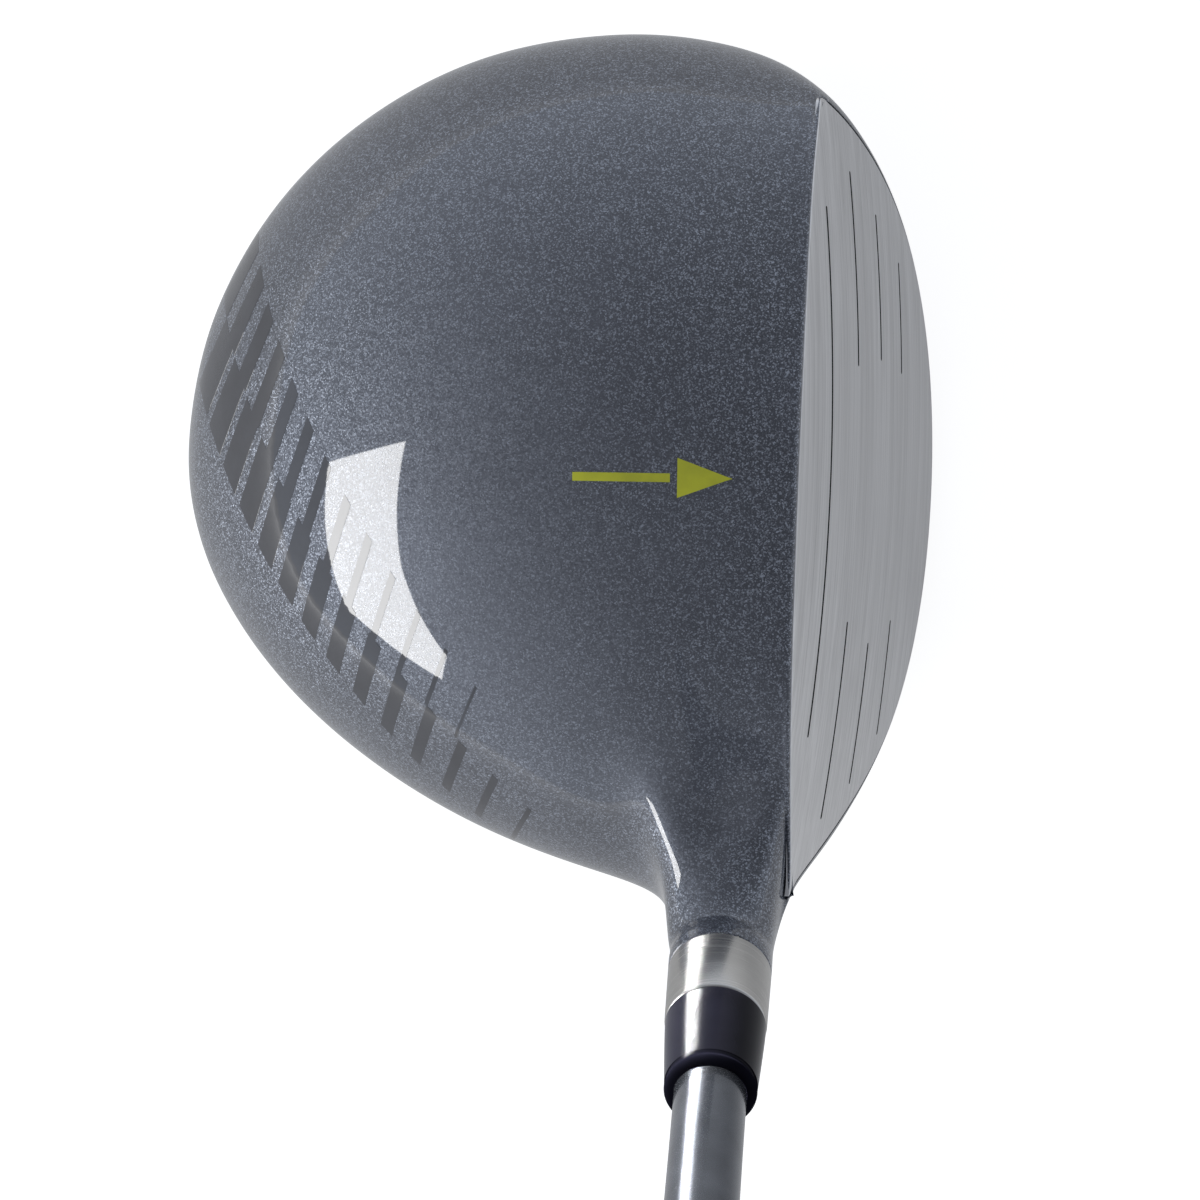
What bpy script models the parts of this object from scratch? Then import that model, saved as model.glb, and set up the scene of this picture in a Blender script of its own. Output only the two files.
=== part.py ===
"""Golf driver (left-handed): hollow head, bonded shaft and rubber grip, as separate solids.

Frame: +X is the target direction, +Y the toe, +Z up. The origin is the middle of the flat rest pad
of the sole, on the ground. Dimensions below are in millimetres; meshes are made in metres.
"""

from math import cos, exp, pi, radians, sin, sqrt, tan

import bmesh
import bpy
from mathutils import Matrix, Vector

MM = 0.001

# Face: bulge and roll radii, loft, and how far the toe is turned in (closed).
FACE_X, FACE_Z = 37.0, 32.5
LOFT, CLOSED = radians(15.0), radians(1.63)
BULGE_R, ROLL_R = 322.0, 315.0
FACE_WIDE_Z = 50.0
FACE_EDGE_T, FACE_MID_T, FACE_LIP_T = 2.4, 3.6, 0.6
FACE_INSET = 0.95
FACE_CENTRE_Z = 34.0

# Plan outline of the head: one ellipse on the toe side and a fuller one on the heel side.
MID_Y, FACE_MID_Y, REAR_X = 3.7, 1.0, -55.5
TOE_X, TOE_R, TOE_FRONT_R = 3.0, 56.7, 48.5
HEEL_X, HEEL_R, HEEL_FRONT_R, HEEL_POWER = 22.0, 56.2, 24.0, 1.85
FAIRING_X, FAIRING_R, FAIRING_LENGTH = 10.0, 2.0, 9.0

# Heights along the middle: crown ridge, widest line (the skirt) and sole.
CREST_X, CREST_Z, FACE_TOP_DROP, CREST_TO_FACE = 8.0, 66.0, 2.4, 19.7
CROWN_FULLNESS, CROWN_END = 2.1, 0.62
REAR_Z, SKIRT_RISE, SKIRT_POWER = 24.0, 11.0, 1.3
SKIRT_FRONT_RISE, SKIRT_FRONT_LENGTH, SKIRT_TILT = 15.0, 7.0, 0.012
SOLE_DIP, SOLE_FLAT_FROM, SOLE_FLAT_TO = 1.0, 10.0, 20.0
LEADING_EDGE_Z, FLAT_TO_LEADING_EDGE = 3.0, 23.5
SOLE_FULLNESS, SOLE_END = 3.0, 0.6

# Near the face the section's middle moves and its corners fill out, over a short length behind the face.
MIDDLE_LENGTH, CORNER_LENGTH = 6.0, 4.0
UPPER_CORNER = {1: 0.5, -1: 0.95}
LOWER_CORNER = {1: 0.65, -1: 2.1}
LEAN_Y = 50.0
CROWN_T, SOLE_T = 0.8, 1.3
SEAM_GAP = 0.4

# Control cage: ring stations from the face to the back, and how far each ring leans with the face.
RINGS = ((30.93, 1.0), (21.4, 0.75), (10.0, 0.45), (-1.0, 0.2), (-13.0, 0.0),
         (-25.0, 0.0), (-36.5, 0.0), (-45.5, 0.0), (-51.3, 0.0))
COLUMNS, SEAM_COLUMN = 16, 8
CROWN, SOLE, FACE_SEAT = 0, 1, 2
SEAM_TOE, NECK_FOOT_TURN, SEAM_HEEL = radians(-8.0), radians(136.0), radians(194.5)
NECK_RINGS, NECK_COLUMNS = (1, 2, 3), (6, 7, 8)
CAP_CELLS = 4
LEVELS = 2

# Shaft line: it crosses the ground at (SHAFT_X, SHAFT_Y) and rises towards the heel.
SHAFT_X, SHAFT_Y, LIE = 18.2, -21.6, radians(57.0)
AXIS = Vector((0.0, -cos(LIE), sin(LIE)))

# Stations along the shaft line, measured up from the ground, and radii.
NECK_LOW, NECK_MID, NECK_TOP = 63.0, 65.5, 70.2
NECK_R, NECK_MID_R, NECK_LOW_R = 6.53, 6.56, 6.62
FOOT_BLEND, FOOT_BLEND_SIDES = 0.58, 0.2     # how far the neck's foot is from the head towards the neck
HOSEL_FOOT, HOSEL_TOP = 20.0, 80.5
HOSEL_R, HOSEL_BORE_R, HOSEL_TOP_R = 5.1, 4.68, 6.34
PLUG_FOOT, TIP_END = 44.0, 48.0
FERRULE_LENGTH, FERRULE_R, BEAD_R = 13.2, 6.3, 5.7
BEAD_LENGTH, BEAD_ROUND, GROOVE = 2.5, 0.8, 0.2
BUTT_END = 1143.0
TIP_R, BUTT_R, TAPER_START, SHAFT_WALL = 4.48, 7.6, 105.0, 1.2
GRIP_LENGTH, GRIP_MOUTH_R, GRIP_BUTT_R = 268.0, 8.9, 13.2
GRIP_STRAIGHT = 0.72     # share of the grip's growth in radius that is even; the rest is near the butt
MOUTH_ROUND, MOUTH_LENGTH = 0.9, 1.0
CAP_T, CAP_ROUND, VENT_R, TAPE_T = 4.5, 1.8, 1.6, 0.25
TAPE_START, TAPE_STOP, BUTT_GAP = 6.0, 1.0, 0.3
FIT, CHAMFER = 0.05, 0.2
PIN_LENGTH, PIN_ROUND, PIN_TAPER, PIN_GAP = 17.0, 0.4, 1.2, 0.3

# Score lines: height on the face, then the heel end and the toe end.
SCORE_WIDTH, SCORE_DEPTH, SCORE_OUT, SCORE_STEP = 0.55, 0.35, 1.0, 8.0
SCORE_LINES = ((52.9, -30.0, 36.8), (43.1, 17.3, 41.8), (43.1, -41.0, -16.0), (33.4, 18.3, 36.8),
               (33.4, -37.0, -19.0), (23.6, 16.8, 31.0), (23.6, -31.0, -16.3))

# Sole furniture.
BADGE_X, BADGE_HALF_X, BADGE_HALF_Y, BADGE_DEPTH, BADGE_STEPS = -20.0, 5.5, 12.0, 0.6, 24
WEIGHT_X, WEIGHT_R, WEIGHT_FIT, WEIGHT_BEVEL, WEIGHT_SUNK = -40.0, 5.6, 0.15, 0.5, 0.5
PUNCH_R, PUNCH_DEPTH = 1.9, 0.8
CUP_R, CUP_DEPTH, CUP_WALL, CUP_ROUND, CUP_SUNK = 7.0, 7.0, 1.2, 0.8, 0.9
MELT_X, MELT_R, MELT_T, MELT_LIFT = 8.0, 9.0, 2.6, 0.4
PART_GAP = 0.3


def face_x(y, z):
    """The face is a shallow dome, leaning back by the loft."""
    rise = z - FACE_Z
    dome = y * y / (2 * BULGE_R) + rise * rise / (2 * ROLL_R)
    return FACE_X - tan(LOFT) * rise - dome + tan(CLOSED) * y


def half_width(x, side):
    """Distance from the middle line to the outline at station x; side is +1 at the toe."""
    if side > 0:
        reach = TOE_FRONT_R if x > TOE_X else TOE_X - REAR_X
        return TOE_R * sqrt(max(0.0, 1 - ((x - TOE_X) / reach) ** 2))
    t = abs(x - HEEL_X) / (HEEL_FRONT_R if x > HEEL_X else HEEL_X - REAR_X)
    fairing = FAIRING_R * exp(-(((x - FAIRING_X) / FAIRING_LENGTH) ** 2))
    return HEEL_R * max(0.0, 1 - t ** HEEL_POWER) ** (1 / HEEL_POWER) + fairing


def crown_z(x):
    if x > CREST_X:
        return CREST_Z - FACE_TOP_DROP * ((x - CREST_X) / CREST_TO_FACE) ** 2
    t = min(1.0, (CREST_X - x) / (CREST_X - REAR_X))
    return REAR_Z + (CREST_Z - REAR_Z) * (1 - t ** CROWN_FULLNESS) ** CROWN_END


def sole_z(x):
    if x > SOLE_FLAT_TO:
        t = (x - SOLE_FLAT_TO) / FLAT_TO_LEADING_EDGE
        return -SOLE_DIP + (LEADING_EDGE_Z + SOLE_DIP) * t ** 2
    t = min(1.0, max(0.0, (SOLE_FLAT_FROM - x) / (SOLE_FLAT_FROM - REAR_X)))
    return REAR_Z - (REAR_Z + SOLE_DIP) * (1 - t ** SOLE_FULLNESS) ** SOLE_END


def behind_face(x):
    return face_x(0, FACE_WIDE_Z) - x


def skirt_z(x):
    t = max(0.0, (x - REAR_X) / (face_x(0, FACE_WIDE_Z) - REAR_X))
    front = SKIRT_FRONT_RISE * exp(-behind_face(x) / SKIRT_FRONT_LENGTH)
    return REAR_Z + SKIRT_RISE * t ** SKIRT_POWER + front


def lean(y, z):
    return face_x(y, z) - face_x(0, FACE_WIDE_Z)


def section_point(x, tilt, turn):
    """A point of the section at station x, turn radians up from the toe side."""
    side = 1 if cos(turn) > 0 else -1
    edge_x = x + tilt * lean(side * LEAN_Y, FACE_WIDE_Z)
    near_face = exp(-behind_face(x) / MIDDLE_LENGTH)
    mid_y = MID_Y + (FACE_MID_Y - MID_Y) * near_face
    edge_y = MID_Y + side * half_width(edge_x, side)
    y = mid_y + (edge_y - mid_y) * abs(cos(turn))
    middle = skirt_z(x) + SKIRT_TILT * y * near_face
    corner = exp(-behind_face(x) / CORNER_LENGTH)
    if sin(turn) > 0:
        limit = crown_z(x + tilt * lean(0, CREST_Z))
        power = 1.0 + UPPER_CORNER[side] * corner
    else:
        limit = sole_z(x + tilt * lean(0, 0))
        power = 1.0 + LOWER_CORNER[side] * corner * (1 - abs(sin(turn)))
    z = middle + (limit - middle) * abs(sin(turn)) ** power
    return Vector((x + tilt * lean(y, z), y, z))


def back_x(y, z):
    """Where the back of the head is at height z, by halving the step."""
    low, high = REAR_X, RINGS[-1][0]
    for _ in range(30):
        x = (low + high) / 2
        side = 1 if y > MID_Y else -1
        wide = max(half_width(x, side), 1e-6)
        limit = crown_z(x) if z > skirt_z(x) else sole_z(x)
        tall = max(abs(limit - skirt_z(x)), 1e-6)
        inside = ((y - MID_Y) / wide) ** 2 + ((z - skirt_z(x)) / tall) ** 2 < 1
        low, high = (low, x) if inside else (x, high)
    return high


def shaft_point(s, r=0.0, turn=0.0):
    """A point s up the shaft line, r out from it; turn 0 is towards the target."""
    out = Vector((cos(turn), 0, 0)) + sin(turn) * AXIS.cross(Vector((1, 0, 0)))
    return Vector((SHAFT_X, SHAFT_Y, 0)) + s * AXIS + r * out


def column_turn(j):
    """Columns are evenly spread over the crown, over the neck's foot, and over the sole."""
    foot = NECK_COLUMNS[0]
    if j <= foot:
        return SEAM_TOE + (NECK_FOOT_TURN - SEAM_TOE) * j / foot
    if j <= SEAM_COLUMN:
        return NECK_FOOT_TURN + (SEAM_HEEL - NECK_FOOT_TURN) * (j - foot) / (SEAM_COLUMN - foot)
    share = (j - SEAM_COLUMN) / (COLUMNS - SEAM_COLUMN)
    return SEAM_HEEL + (SEAM_TOE + 2 * pi - SEAM_HEEL) * share


def ring_of_section(x, tilt):
    return [section_point(x, tilt, column_turn(j)) for j in range(COLUMNS)]


def cap_rim(ring):
    """The last ring as the rim of a square net: the place in the net of each of its items."""
    n = CAP_CELLS
    rim = [ring[(n // 2 + k) % COLUMNS] for k in range(COLUMNS)]
    net = {}
    for a in range(n + 1):
        net[a, 0], net[n, a] = rim[a], rim[n + a]
        net[n - a, n], net[0, n - a] = rim[2 * n + a], rim[(3 * n + a) % COLUMNS]
    return net


def fill_cap(bm, ring):
    """Closes the back with a square net of faces, each inner point set on the back of the head."""
    n = CAP_CELLS
    verts = cap_rim(ring)
    net = {place: vert.co.copy() for place, vert in verts.items()}
    for a in range(1, n):
        for b in range(1, n):
            u, v = a / n, b / n
            flat = (1 - v) * net[a, 0] + v * net[a, n] + (1 - u) * net[0, b] + u * net[n, b]
            flat -= (1 - u) * (1 - v) * net[0, 0] + u * (1 - v) * net[n, 0]
            flat -= (1 - u) * v * net[0, n] + u * v * net[n, n]
            verts[a, b] = bm.verts.new((back_x(flat.y, flat.z), flat.y, flat.z))
    for a in range(n):
        for b in range(n):
            corners = (verts[a, b], verts[a + 1, b], verts[a + 1, b + 1], verts[a, b + 1])
            bm.faces.new(corners).material_index = SOLE if b >= n // 2 else CROWN


def neck_rim(rows):
    """The eight cage points round the foot of the neck, from the target side anticlockwise."""
    near, mid, far = NECK_RINGS
    top, side, low = NECK_COLUMNS
    order = ((near, side), (near, top), (mid, top), (far, top),
             (far, side), (far, low), (mid, low), (near, low))
    return [rows[i][j] for i, j in order]


def add_neck(bm, rows):
    """The painted neck: rings of eight points that close in on the shaft line."""
    rim = neck_rim(rows)
    turns = [pi * k / 4 for k in range(8)]
    low = [shaft_point(NECK_LOW, NECK_LOW_R, turn) for turn in turns]
    blends = [FOOT_BLEND + FOOT_BLEND_SIDES * abs(cos(turn)) for turn in turns]
    foot = [v.co.lerp(end, blend) for v, end, blend in zip(rim, low, blends)]
    mid = [shaft_point(NECK_MID, NECK_MID_R, turn) for turn in turns]
    top = [shaft_point(NECK_TOP, NECK_R, turn) for turn in turns]
    for points in (foot, mid, top):
        loop = [bm.verts.new(point) for point in points]
        for k in range(8):
            bm.faces.new((rim[k - 1], rim[k], loop[k], loop[k - 1]))
        rim = loop


def head_cage():
    """Control cage of the whole outer skin, open at the face and at the top of the neck."""
    bm = bmesh.new()
    stations = ((face_x(0, FACE_WIDE_Z), 1.0),) + RINGS
    rows = [[bm.verts.new(p) for p in ring_of_section(x, tilt)] for x, tilt in stations]
    for i in range(len(rows) - 1):
        for j in range(COLUMNS):
            if i in NECK_RINGS[:2] and j in NECK_COLUMNS[:2]:
                continue
            k = (j + 1) % COLUMNS
            face = bm.faces.new((rows[i][j], rows[i][k], rows[i + 1][k], rows[i + 1][j]))
            side = SOLE if j >= SEAM_COLUMN else CROWN
            face.material_index = FACE_SEAT if i == 0 else side
    add_neck(bm, rows)
    bm.verts.remove(rows[NECK_RINGS[1]][NECK_COLUMNS[1]])
    fill_cap(bm, rows[-1])
    bmesh.ops.recalc_face_normals(bm, faces=bm.faces)
    return bm


def limit_of(vert):
    """Where a subdivision surface puts this cage point."""
    if vert.is_boundary:
        ends = [e.other_vert(vert).co for e in vert.link_edges if e.is_boundary]
        return (ends[0] + 4 * vert.co + ends[1]) / 6
    n = len(vert.link_edges)
    total = n * n * vert.co
    for edge in vert.link_edges:
        total = total + 4 * edge.other_vert(vert).co
    for loop in vert.link_loops:
        total = total + loop.link_loop_next.link_loop_next.vert.co
    return total / (n * (n + 5))


def pass_through_points(bm, rounds=6):
    """Moves the cage so that its smooth surface passes through where its points were."""
    targets = {vert: vert.co.copy() for vert in bm.verts}
    for _ in range(rounds):
        limits = {vert: limit_of(vert) for vert in bm.verts}
        for vert in bm.verts:
            vert.co += targets[vert] - limits[vert]


def paint(name, colour, roughness, metallic=0.0):
    material = bpy.data.materials.new(name)
    material.use_nodes = True
    shader = material.node_tree.nodes["Principled BSDF"]
    shader.inputs["Base Color"].default_value = (*colour, 1.0)
    shader.inputs["Roughness"].default_value = roughness
    shader.inputs["Metallic"].default_value = metallic
    material.diffuse_color = (*colour, 1.0)
    return material


def add_object(name, bm, material):
    """Makes an object from a mesh in millimetres."""
    bmesh.ops.scale(bm, vec=(MM, MM, MM), verts=bm.verts)
    mesh = bpy.data.meshes.new(name)
    bm.to_mesh(mesh)
    bm.free()
    mesh.shade_smooth()
    mesh.materials.clear()
    mesh.materials.append(material)
    obj = bpy.data.objects.new(name, mesh)
    bpy.context.scene.collection.objects.link(obj)
    return obj


def smooth_skin():
    """The cage subdivided, as a mesh in millimetres whose faces keep their material index."""
    bm = head_cage()
    pass_through_points(bm)
    mesh = bpy.data.meshes.new("head_cage")
    bm.to_mesh(mesh)
    bm.free()
    for name in ("crown_side", "sole_side", "face_seat"):
        mesh.materials.append(bpy.data.materials.new(name))
    cage = bpy.data.objects.new("head_cage", mesh)
    bpy.context.scene.collection.objects.link(cage)
    subdivide = cage.modifiers.new("Subdivide", "SUBSURF")
    subdivide.levels = subdivide.render_levels = LEVELS
    graph = bpy.context.evaluated_depsgraph_get()
    skin = bpy.data.meshes.new_from_object(cage.evaluated_get(graph))
    bpy.data.objects.remove(cage)
    return skin


def face_loop(bm):
    """Boundary points at the face, in order."""
    start = max((v for v in bm.verts if v.is_boundary), key=lambda v: v.co.x)
    loop, previous = [start], None
    while True:
        nexts = [e.other_vert(loop[-1]) for e in loop[-1].link_edges if e.is_boundary]
        step = nexts[0] if nexts[0] is not previous else nexts[1]
        if step is start:
            return loop
        previous = loop[-1]
        loop.append(step)


def draw_back(bm, distance):
    """Slides each boundary point inwards along the surface, to leave room for its neighbour."""
    moves = {}
    for vert in bm.verts:
        if not vert.is_boundary:
            continue
        inner = [e.other_vert(vert).co - vert.co for e in vert.link_edges if not e.is_boundary]
        if inner:
            moves[vert] = sum((d.normalized() for d in inner), Vector()).normalized() * distance
    for vert, move in moves.items():
        vert.co += move


def shell(name, skin, keep, thickness, material):
    """One side of the skin as a shell of even thickness."""
    bm = bmesh.new()
    bm.from_mesh(skin)
    others = [f for f in bm.faces if f.material_index != keep]
    bmesh.ops.delete(bm, geom=others, context="FACES")
    draw_back(bm, SEAM_GAP)
    for vert in bm.verts:
        vert.co.z = max(vert.co.z, 0.0)
    obj = add_object(name, bm, material)
    wall = obj.modifiers.new("Wall", "SOLIDIFY")
    wall.thickness = thickness * MM
    wall.offset = -1.0
    return obj


def bridge(bm, first, second):
    for k in range(len(first)):
        bm.faces.new((first[k - 1], first[k], second[k], second[k - 1]))


def face_level(bm, outline, scale, depth_of):
    """A ring of face points: the outline drawn in by scale, depth_of(scale) behind the surface."""
    level = []
    for point in outline:
        y = point.y * scale
        z = FACE_CENTRE_Z + (point.z - FACE_CENTRE_Z) * scale
        level.append(bm.verts.new((face_x(y, z) - depth_of(scale), y, z)))
    return level


def face_outline(skin):
    bm = bmesh.new()
    bm.from_mesh(skin)
    outline = [v.co.copy() for v in face_loop(bm)]
    bm.free()
    return outline


def close_levels(bm, levels, ends):
    """Joins rings of face points into one solid, with a middle point at each end."""
    for first, second in zip(levels, levels[1:]):
        bridge(bm, first, second)
    for level, depth in zip((levels[0], levels[-1]), ends):
        centre = bm.verts.new((face_x(0, FACE_CENTRE_Z) - depth, 0, FACE_CENTRE_Z))
        for k in range(len(level)):
            bm.faces.new((level[k - 1], level[k], centre))
    bmesh.ops.recalc_face_normals(bm, faces=bm.faces)


def plate_depth(scale):
    """The plate thickens from its edge to its middle."""
    t = min(1.0, scale / FACE_INSET)
    return FACE_MID_T + (FACE_EDGE_T - FACE_MID_T) * t * t


def face_plate(skin, material):
    bm = bmesh.new()
    outline = face_outline(skin)
    front = [face_level(bm, outline, s, lambda _: 0.0) for s in (0.25, 0.5, 0.75, 1.0)]
    back = [face_level(bm, outline, s, lambda _: FACE_LIP_T) for s in (1.0, FACE_INSET)]
    back += [face_level(bm, outline, s, plate_depth) for s in (FACE_INSET, 0.7, 0.45, 0.2)]
    close_levels(bm, front + back, (0.0, plate_depth(0)))
    obj = add_object("face_plate", bm, material)
    cut(obj, score_cutter())
    return obj


def score_cutter():
    """Thin bars that follow the face, one for each score line."""
    bm = bmesh.new()
    for height, heel, toe in SCORE_LINES:
        steps = max(3, round((toe - heel) / SCORE_STEP))
        rows = []
        for k in range(steps + 1):
            y = heel + (toe - heel) * k / steps
            low, high = height - SCORE_WIDTH / 2, height + SCORE_WIDTH / 2
            corners = ((-SCORE_DEPTH, low), (SCORE_OUT, low), (SCORE_OUT, high), (-SCORE_DEPTH, high))
            rows.append([bm.verts.new((face_x(y, z) + d, y, z)) for d, z in corners])
        for first, second in zip(rows, rows[1:]):
            bridge(bm, first, second)
        bm.faces.new(rows[0])
        bm.faces.new(rows[-1])
    bmesh.ops.recalc_face_normals(bm, faces=bm.faces)
    return helper(add_object("score_cutter", bm, bpy.data.materials.new("cutter")))


def helper(obj):
    obj.hide_render = True
    obj.display_type = "WIRE"
    return obj


def cut(obj, cutter):
    cutter.hide_set(True)
    boolean = obj.modifiers.new(cutter.name, "BOOLEAN")
    boolean.operation = "DIFFERENCE"
    boolean.object = cutter


def turned(name, profile, material, steps=32, place=None):
    """A turned solid: profile points are (radius, height) and run round a closed outline."""
    bm = bmesh.new()
    verts = [bm.verts.new((r, 0, h)) for r, h in profile]
    closed = profile[0][0] > 0 or profile[-1][0] > 0
    edges = [bm.edges.new(pair) for pair in zip(verts, verts[1:])]
    if closed:
        edges.append(bm.edges.new((verts[-1], verts[0])))
    bmesh.ops.spin(bm, geom=verts + edges, axis=(0, 0, 1), cent=(0, 0, 0), angle=2 * pi,
                   steps=steps, use_merge=True)
    bmesh.ops.remove_doubles(bm, verts=bm.verts, dist=1e-4)
    bmesh.ops.recalc_face_normals(bm, faces=bm.faces)
    obj = add_object(name, bm, material)
    obj.data.set_sharp_from_angle(angle=radians(35))
    obj.matrix_world = place if place else shaft_frame()
    return obj


def shaft_frame():
    """Places a turned solid on the shaft line, its heights measured up from the ground."""
    across = AXIS.cross(Vector((1, 0, 0)))
    turn = Matrix((Vector((1, 0, 0)), across, AXIS)).transposed()
    return Matrix.Translation(Vector((SHAFT_X, SHAFT_Y, 0)) * MM) @ turn.to_4x4()


def shaft_r(s):
    t = max(0.0, (s - TAPER_START) / (BUTT_END - TAPER_START))
    return TIP_R + (BUTT_R - TIP_R) * t


def hosel_tube(material):
    step = NECK_TOP + 2 * SEAM_GAP
    profile = [(HOSEL_BORE_R, HOSEL_FOOT), (HOSEL_R, HOSEL_FOOT), (HOSEL_R, step), (NECK_R, step),
               (HOSEL_TOP_R, HOSEL_TOP - 2 * CHAMFER), (HOSEL_TOP_R - CHAMFER, HOSEL_TOP),
               (HOSEL_BORE_R, HOSEL_TOP)]
    return turned("hosel_tube", profile, material)


def hosel_bore_plug(material):
    r = HOSEL_BORE_R - FIT
    foot, top = PLUG_FOOT, TIP_END - 2 * FIT
    return turned("hosel_bore_plug", [(0, foot), (r, foot), (r, top), (0, top)], material)


def ferrule(material):
    """A tapered collar that ends in a rounded bead behind a shallow groove."""
    foot = HOSEL_TOP + 2 * FIT
    top = foot + FERRULE_LENGTH
    bead = top - BEAD_LENGTH
    bore = TIP_R + FIT
    profile = [(bore, foot), (FERRULE_R, foot), (FERRULE_R - CHAMFER, foot + FERRULE_LENGTH / 3),
               (BEAD_R, bead - 2 * GROOVE), (BEAD_R - GROOVE, bead - GROOVE), (BEAD_R - GROOVE, bead),
               (BEAD_R, bead + 2 * GROOVE), (BEAD_R, top - BEAD_LENGTH / 2),
               (BEAD_R - BEAD_ROUND / 2, top - BEAD_ROUND / 2), (BEAD_R - BEAD_ROUND, top), (bore, top)]
    return turned("ferrule", profile, material)


def bond_sleeve(material):
    inner, outer = TIP_R + FIT, HOSEL_BORE_R - FIT
    profile = [(inner, TIP_END), (outer, TIP_END), (outer, HOSEL_TOP), (inner, HOSEL_TOP)]
    return turned("bond_sleeve", profile, material)


def shaft(material):
    inner = TIP_R - SHAFT_WALL
    top = BUTT_END - CAP_T - BUTT_GAP
    profile = [(inner, TIP_END), (TIP_R - 2 * CHAMFER, TIP_END), (TIP_R, TIP_END + 3 * CHAMFER),
               (TIP_R, TAPER_START), (shaft_r(top), top), (shaft_r(top) - SHAFT_WALL, top),
               (inner, TAPER_START)]
    return turned("shaft", profile, material)


def tip_weight(material):
    r = TIP_R - SHAFT_WALL - FIT
    foot = TIP_END + PIN_GAP
    top = foot + PIN_LENGTH
    profile = [(0, foot), (r - PIN_ROUND, foot), (r, foot + PIN_TAPER), (r, top - 1), (0, top)]
    return turned("tip_weight_pin", profile, material)


def grip_r(s):
    """Outer radius of the grip, from its mouth to its butt."""
    t = (s - (BUTT_END - GRIP_LENGTH)) / GRIP_LENGTH
    growth = GRIP_STRAIGHT * t + (1 - GRIP_STRAIGHT) * t ** 3
    return GRIP_MOUTH_R + (GRIP_BUTT_R - GRIP_MOUTH_R) * growth


def grip_sleeve(material):
    foot, top = BUTT_END - GRIP_LENGTH, BUTT_END - CAP_T
    bore = TAPE_T + 4 * FIT
    outside = [foot + (top - foot) * k / 8 for k in range(1, 9)]
    profile = [(shaft_r(foot) + bore, foot), (grip_r(foot) - MOUTH_ROUND, foot)]
    profile += [(grip_r(foot), foot + MOUTH_LENGTH)] + [(grip_r(s), s) for s in outside]
    profile += [(shaft_r(top) + bore, top)]
    return turned("grip_sleeve", profile, material)


def grip_tape(material):
    foot, top = BUTT_END - GRIP_LENGTH + TAPE_START, BUTT_END - CAP_T - TAPE_STOP
    low, high = shaft_r(foot) + FIT, shaft_r(top) + FIT
    profile = [(low, foot), (low + TAPE_T, foot), (high + TAPE_T, top), (high, top)]
    return turned("grip_tape", profile, material)


def grip_cap(material):
    foot, top = BUTT_END - CAP_T + 2 * FIT, BUTT_END
    r = GRIP_BUTT_R
    shoulder = 0.3 * CAP_ROUND
    profile = [(VENT_R, foot), (r, foot), (r, top - CAP_ROUND), (r - shoulder, top - shoulder),
               (r - CAP_ROUND, top), (VENT_R, top)]
    return turned("grip_cap", profile, material)


def weight_frame():
    """On the sole behind the badge, square to the surface there."""
    x = WEIGHT_X
    slope = Vector((2.0, 0, sole_z(x + 1) - sole_z(x - 1))).normalized()
    inward = slope.cross(Vector((0, -1, 0)))
    if inward.z < 0:
        inward.negate()
    turn = Matrix((slope, inward.cross(slope), inward)).transposed()
    return Matrix.Translation(Vector((x, MID_Y, sole_z(x))) * MM) @ turn.to_4x4()


def weight_port(sole, cup_material, plug_material):
    """A cup through the sole, and the weight plug pressed into it, with a round recess for its punch."""
    place = weight_frame()
    hole_r = CUP_R + PART_GAP
    hole = [(0, -CUP_DEPTH), (hole_r, -CUP_DEPTH), (hole_r, CUP_DEPTH), (0, CUP_DEPTH)]
    cut(sole, helper(turned("port_cutter", hole, cup_material, place=place)))
    inner, floor = WEIGHT_R + WEIGHT_FIT, CUP_DEPTH - CUP_WALL
    cup = [(0, CUP_DEPTH), (0, floor), (inner, floor), (inner, CUP_SUNK), (CUP_R, CUP_SUNK),
           (CUP_R, CUP_DEPTH - CUP_ROUND), (CUP_R - CUP_ROUND, CUP_DEPTH)]
    turned("weight_port_cup", cup, cup_material, place=place)
    top = floor - PART_GAP
    plug = [(0, WEIGHT_SUNK + PUNCH_DEPTH), (PUNCH_R, WEIGHT_SUNK + PUNCH_DEPTH), (PUNCH_R, WEIGHT_SUNK),
            (WEIGHT_R - WEIGHT_BEVEL, WEIGHT_SUNK), (WEIGHT_R, WEIGHT_SUNK + WEIGHT_BEVEL),
            (WEIGHT_R, top), (0, top)]
    turned("rear_weight_plug", plug, plug_material, place=place)


def badge_outline(grow):
    turns = [2 * pi * k / BADGE_STEPS for k in range(BADGE_STEPS)]
    return [(BADGE_X + (BADGE_HALF_X + grow) * cos(t), MID_Y + (BADGE_HALF_Y + grow) * sin(t))
            for t in turns]


def oval_plate(name, grow, low, high, material):
    bm = bmesh.new()
    rows = [[bm.verts.new((x, y, z)) for x, y in badge_outline(grow)] for z in (low, high)]
    bridge(bm, *rows)
    bm.faces.new(rows[0])
    bm.faces.new(rows[1])
    bmesh.ops.recalc_face_normals(bm, faces=bm.faces)
    return add_object(name, bm, material)


def hot_melt_pad(material):
    place = Matrix.Translation(Vector((MELT_X, MID_Y, SOLE_T + MELT_LIFT)) * MM)
    profile = [(0, 0), (MELT_R, 0), (MELT_R * 0.86, MELT_T * 0.6), (MELT_R * 0.5, MELT_T * 0.95),
               (0, MELT_T)]
    return turned("hot_melt_pad", profile, material, steps=20, place=place)


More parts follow.
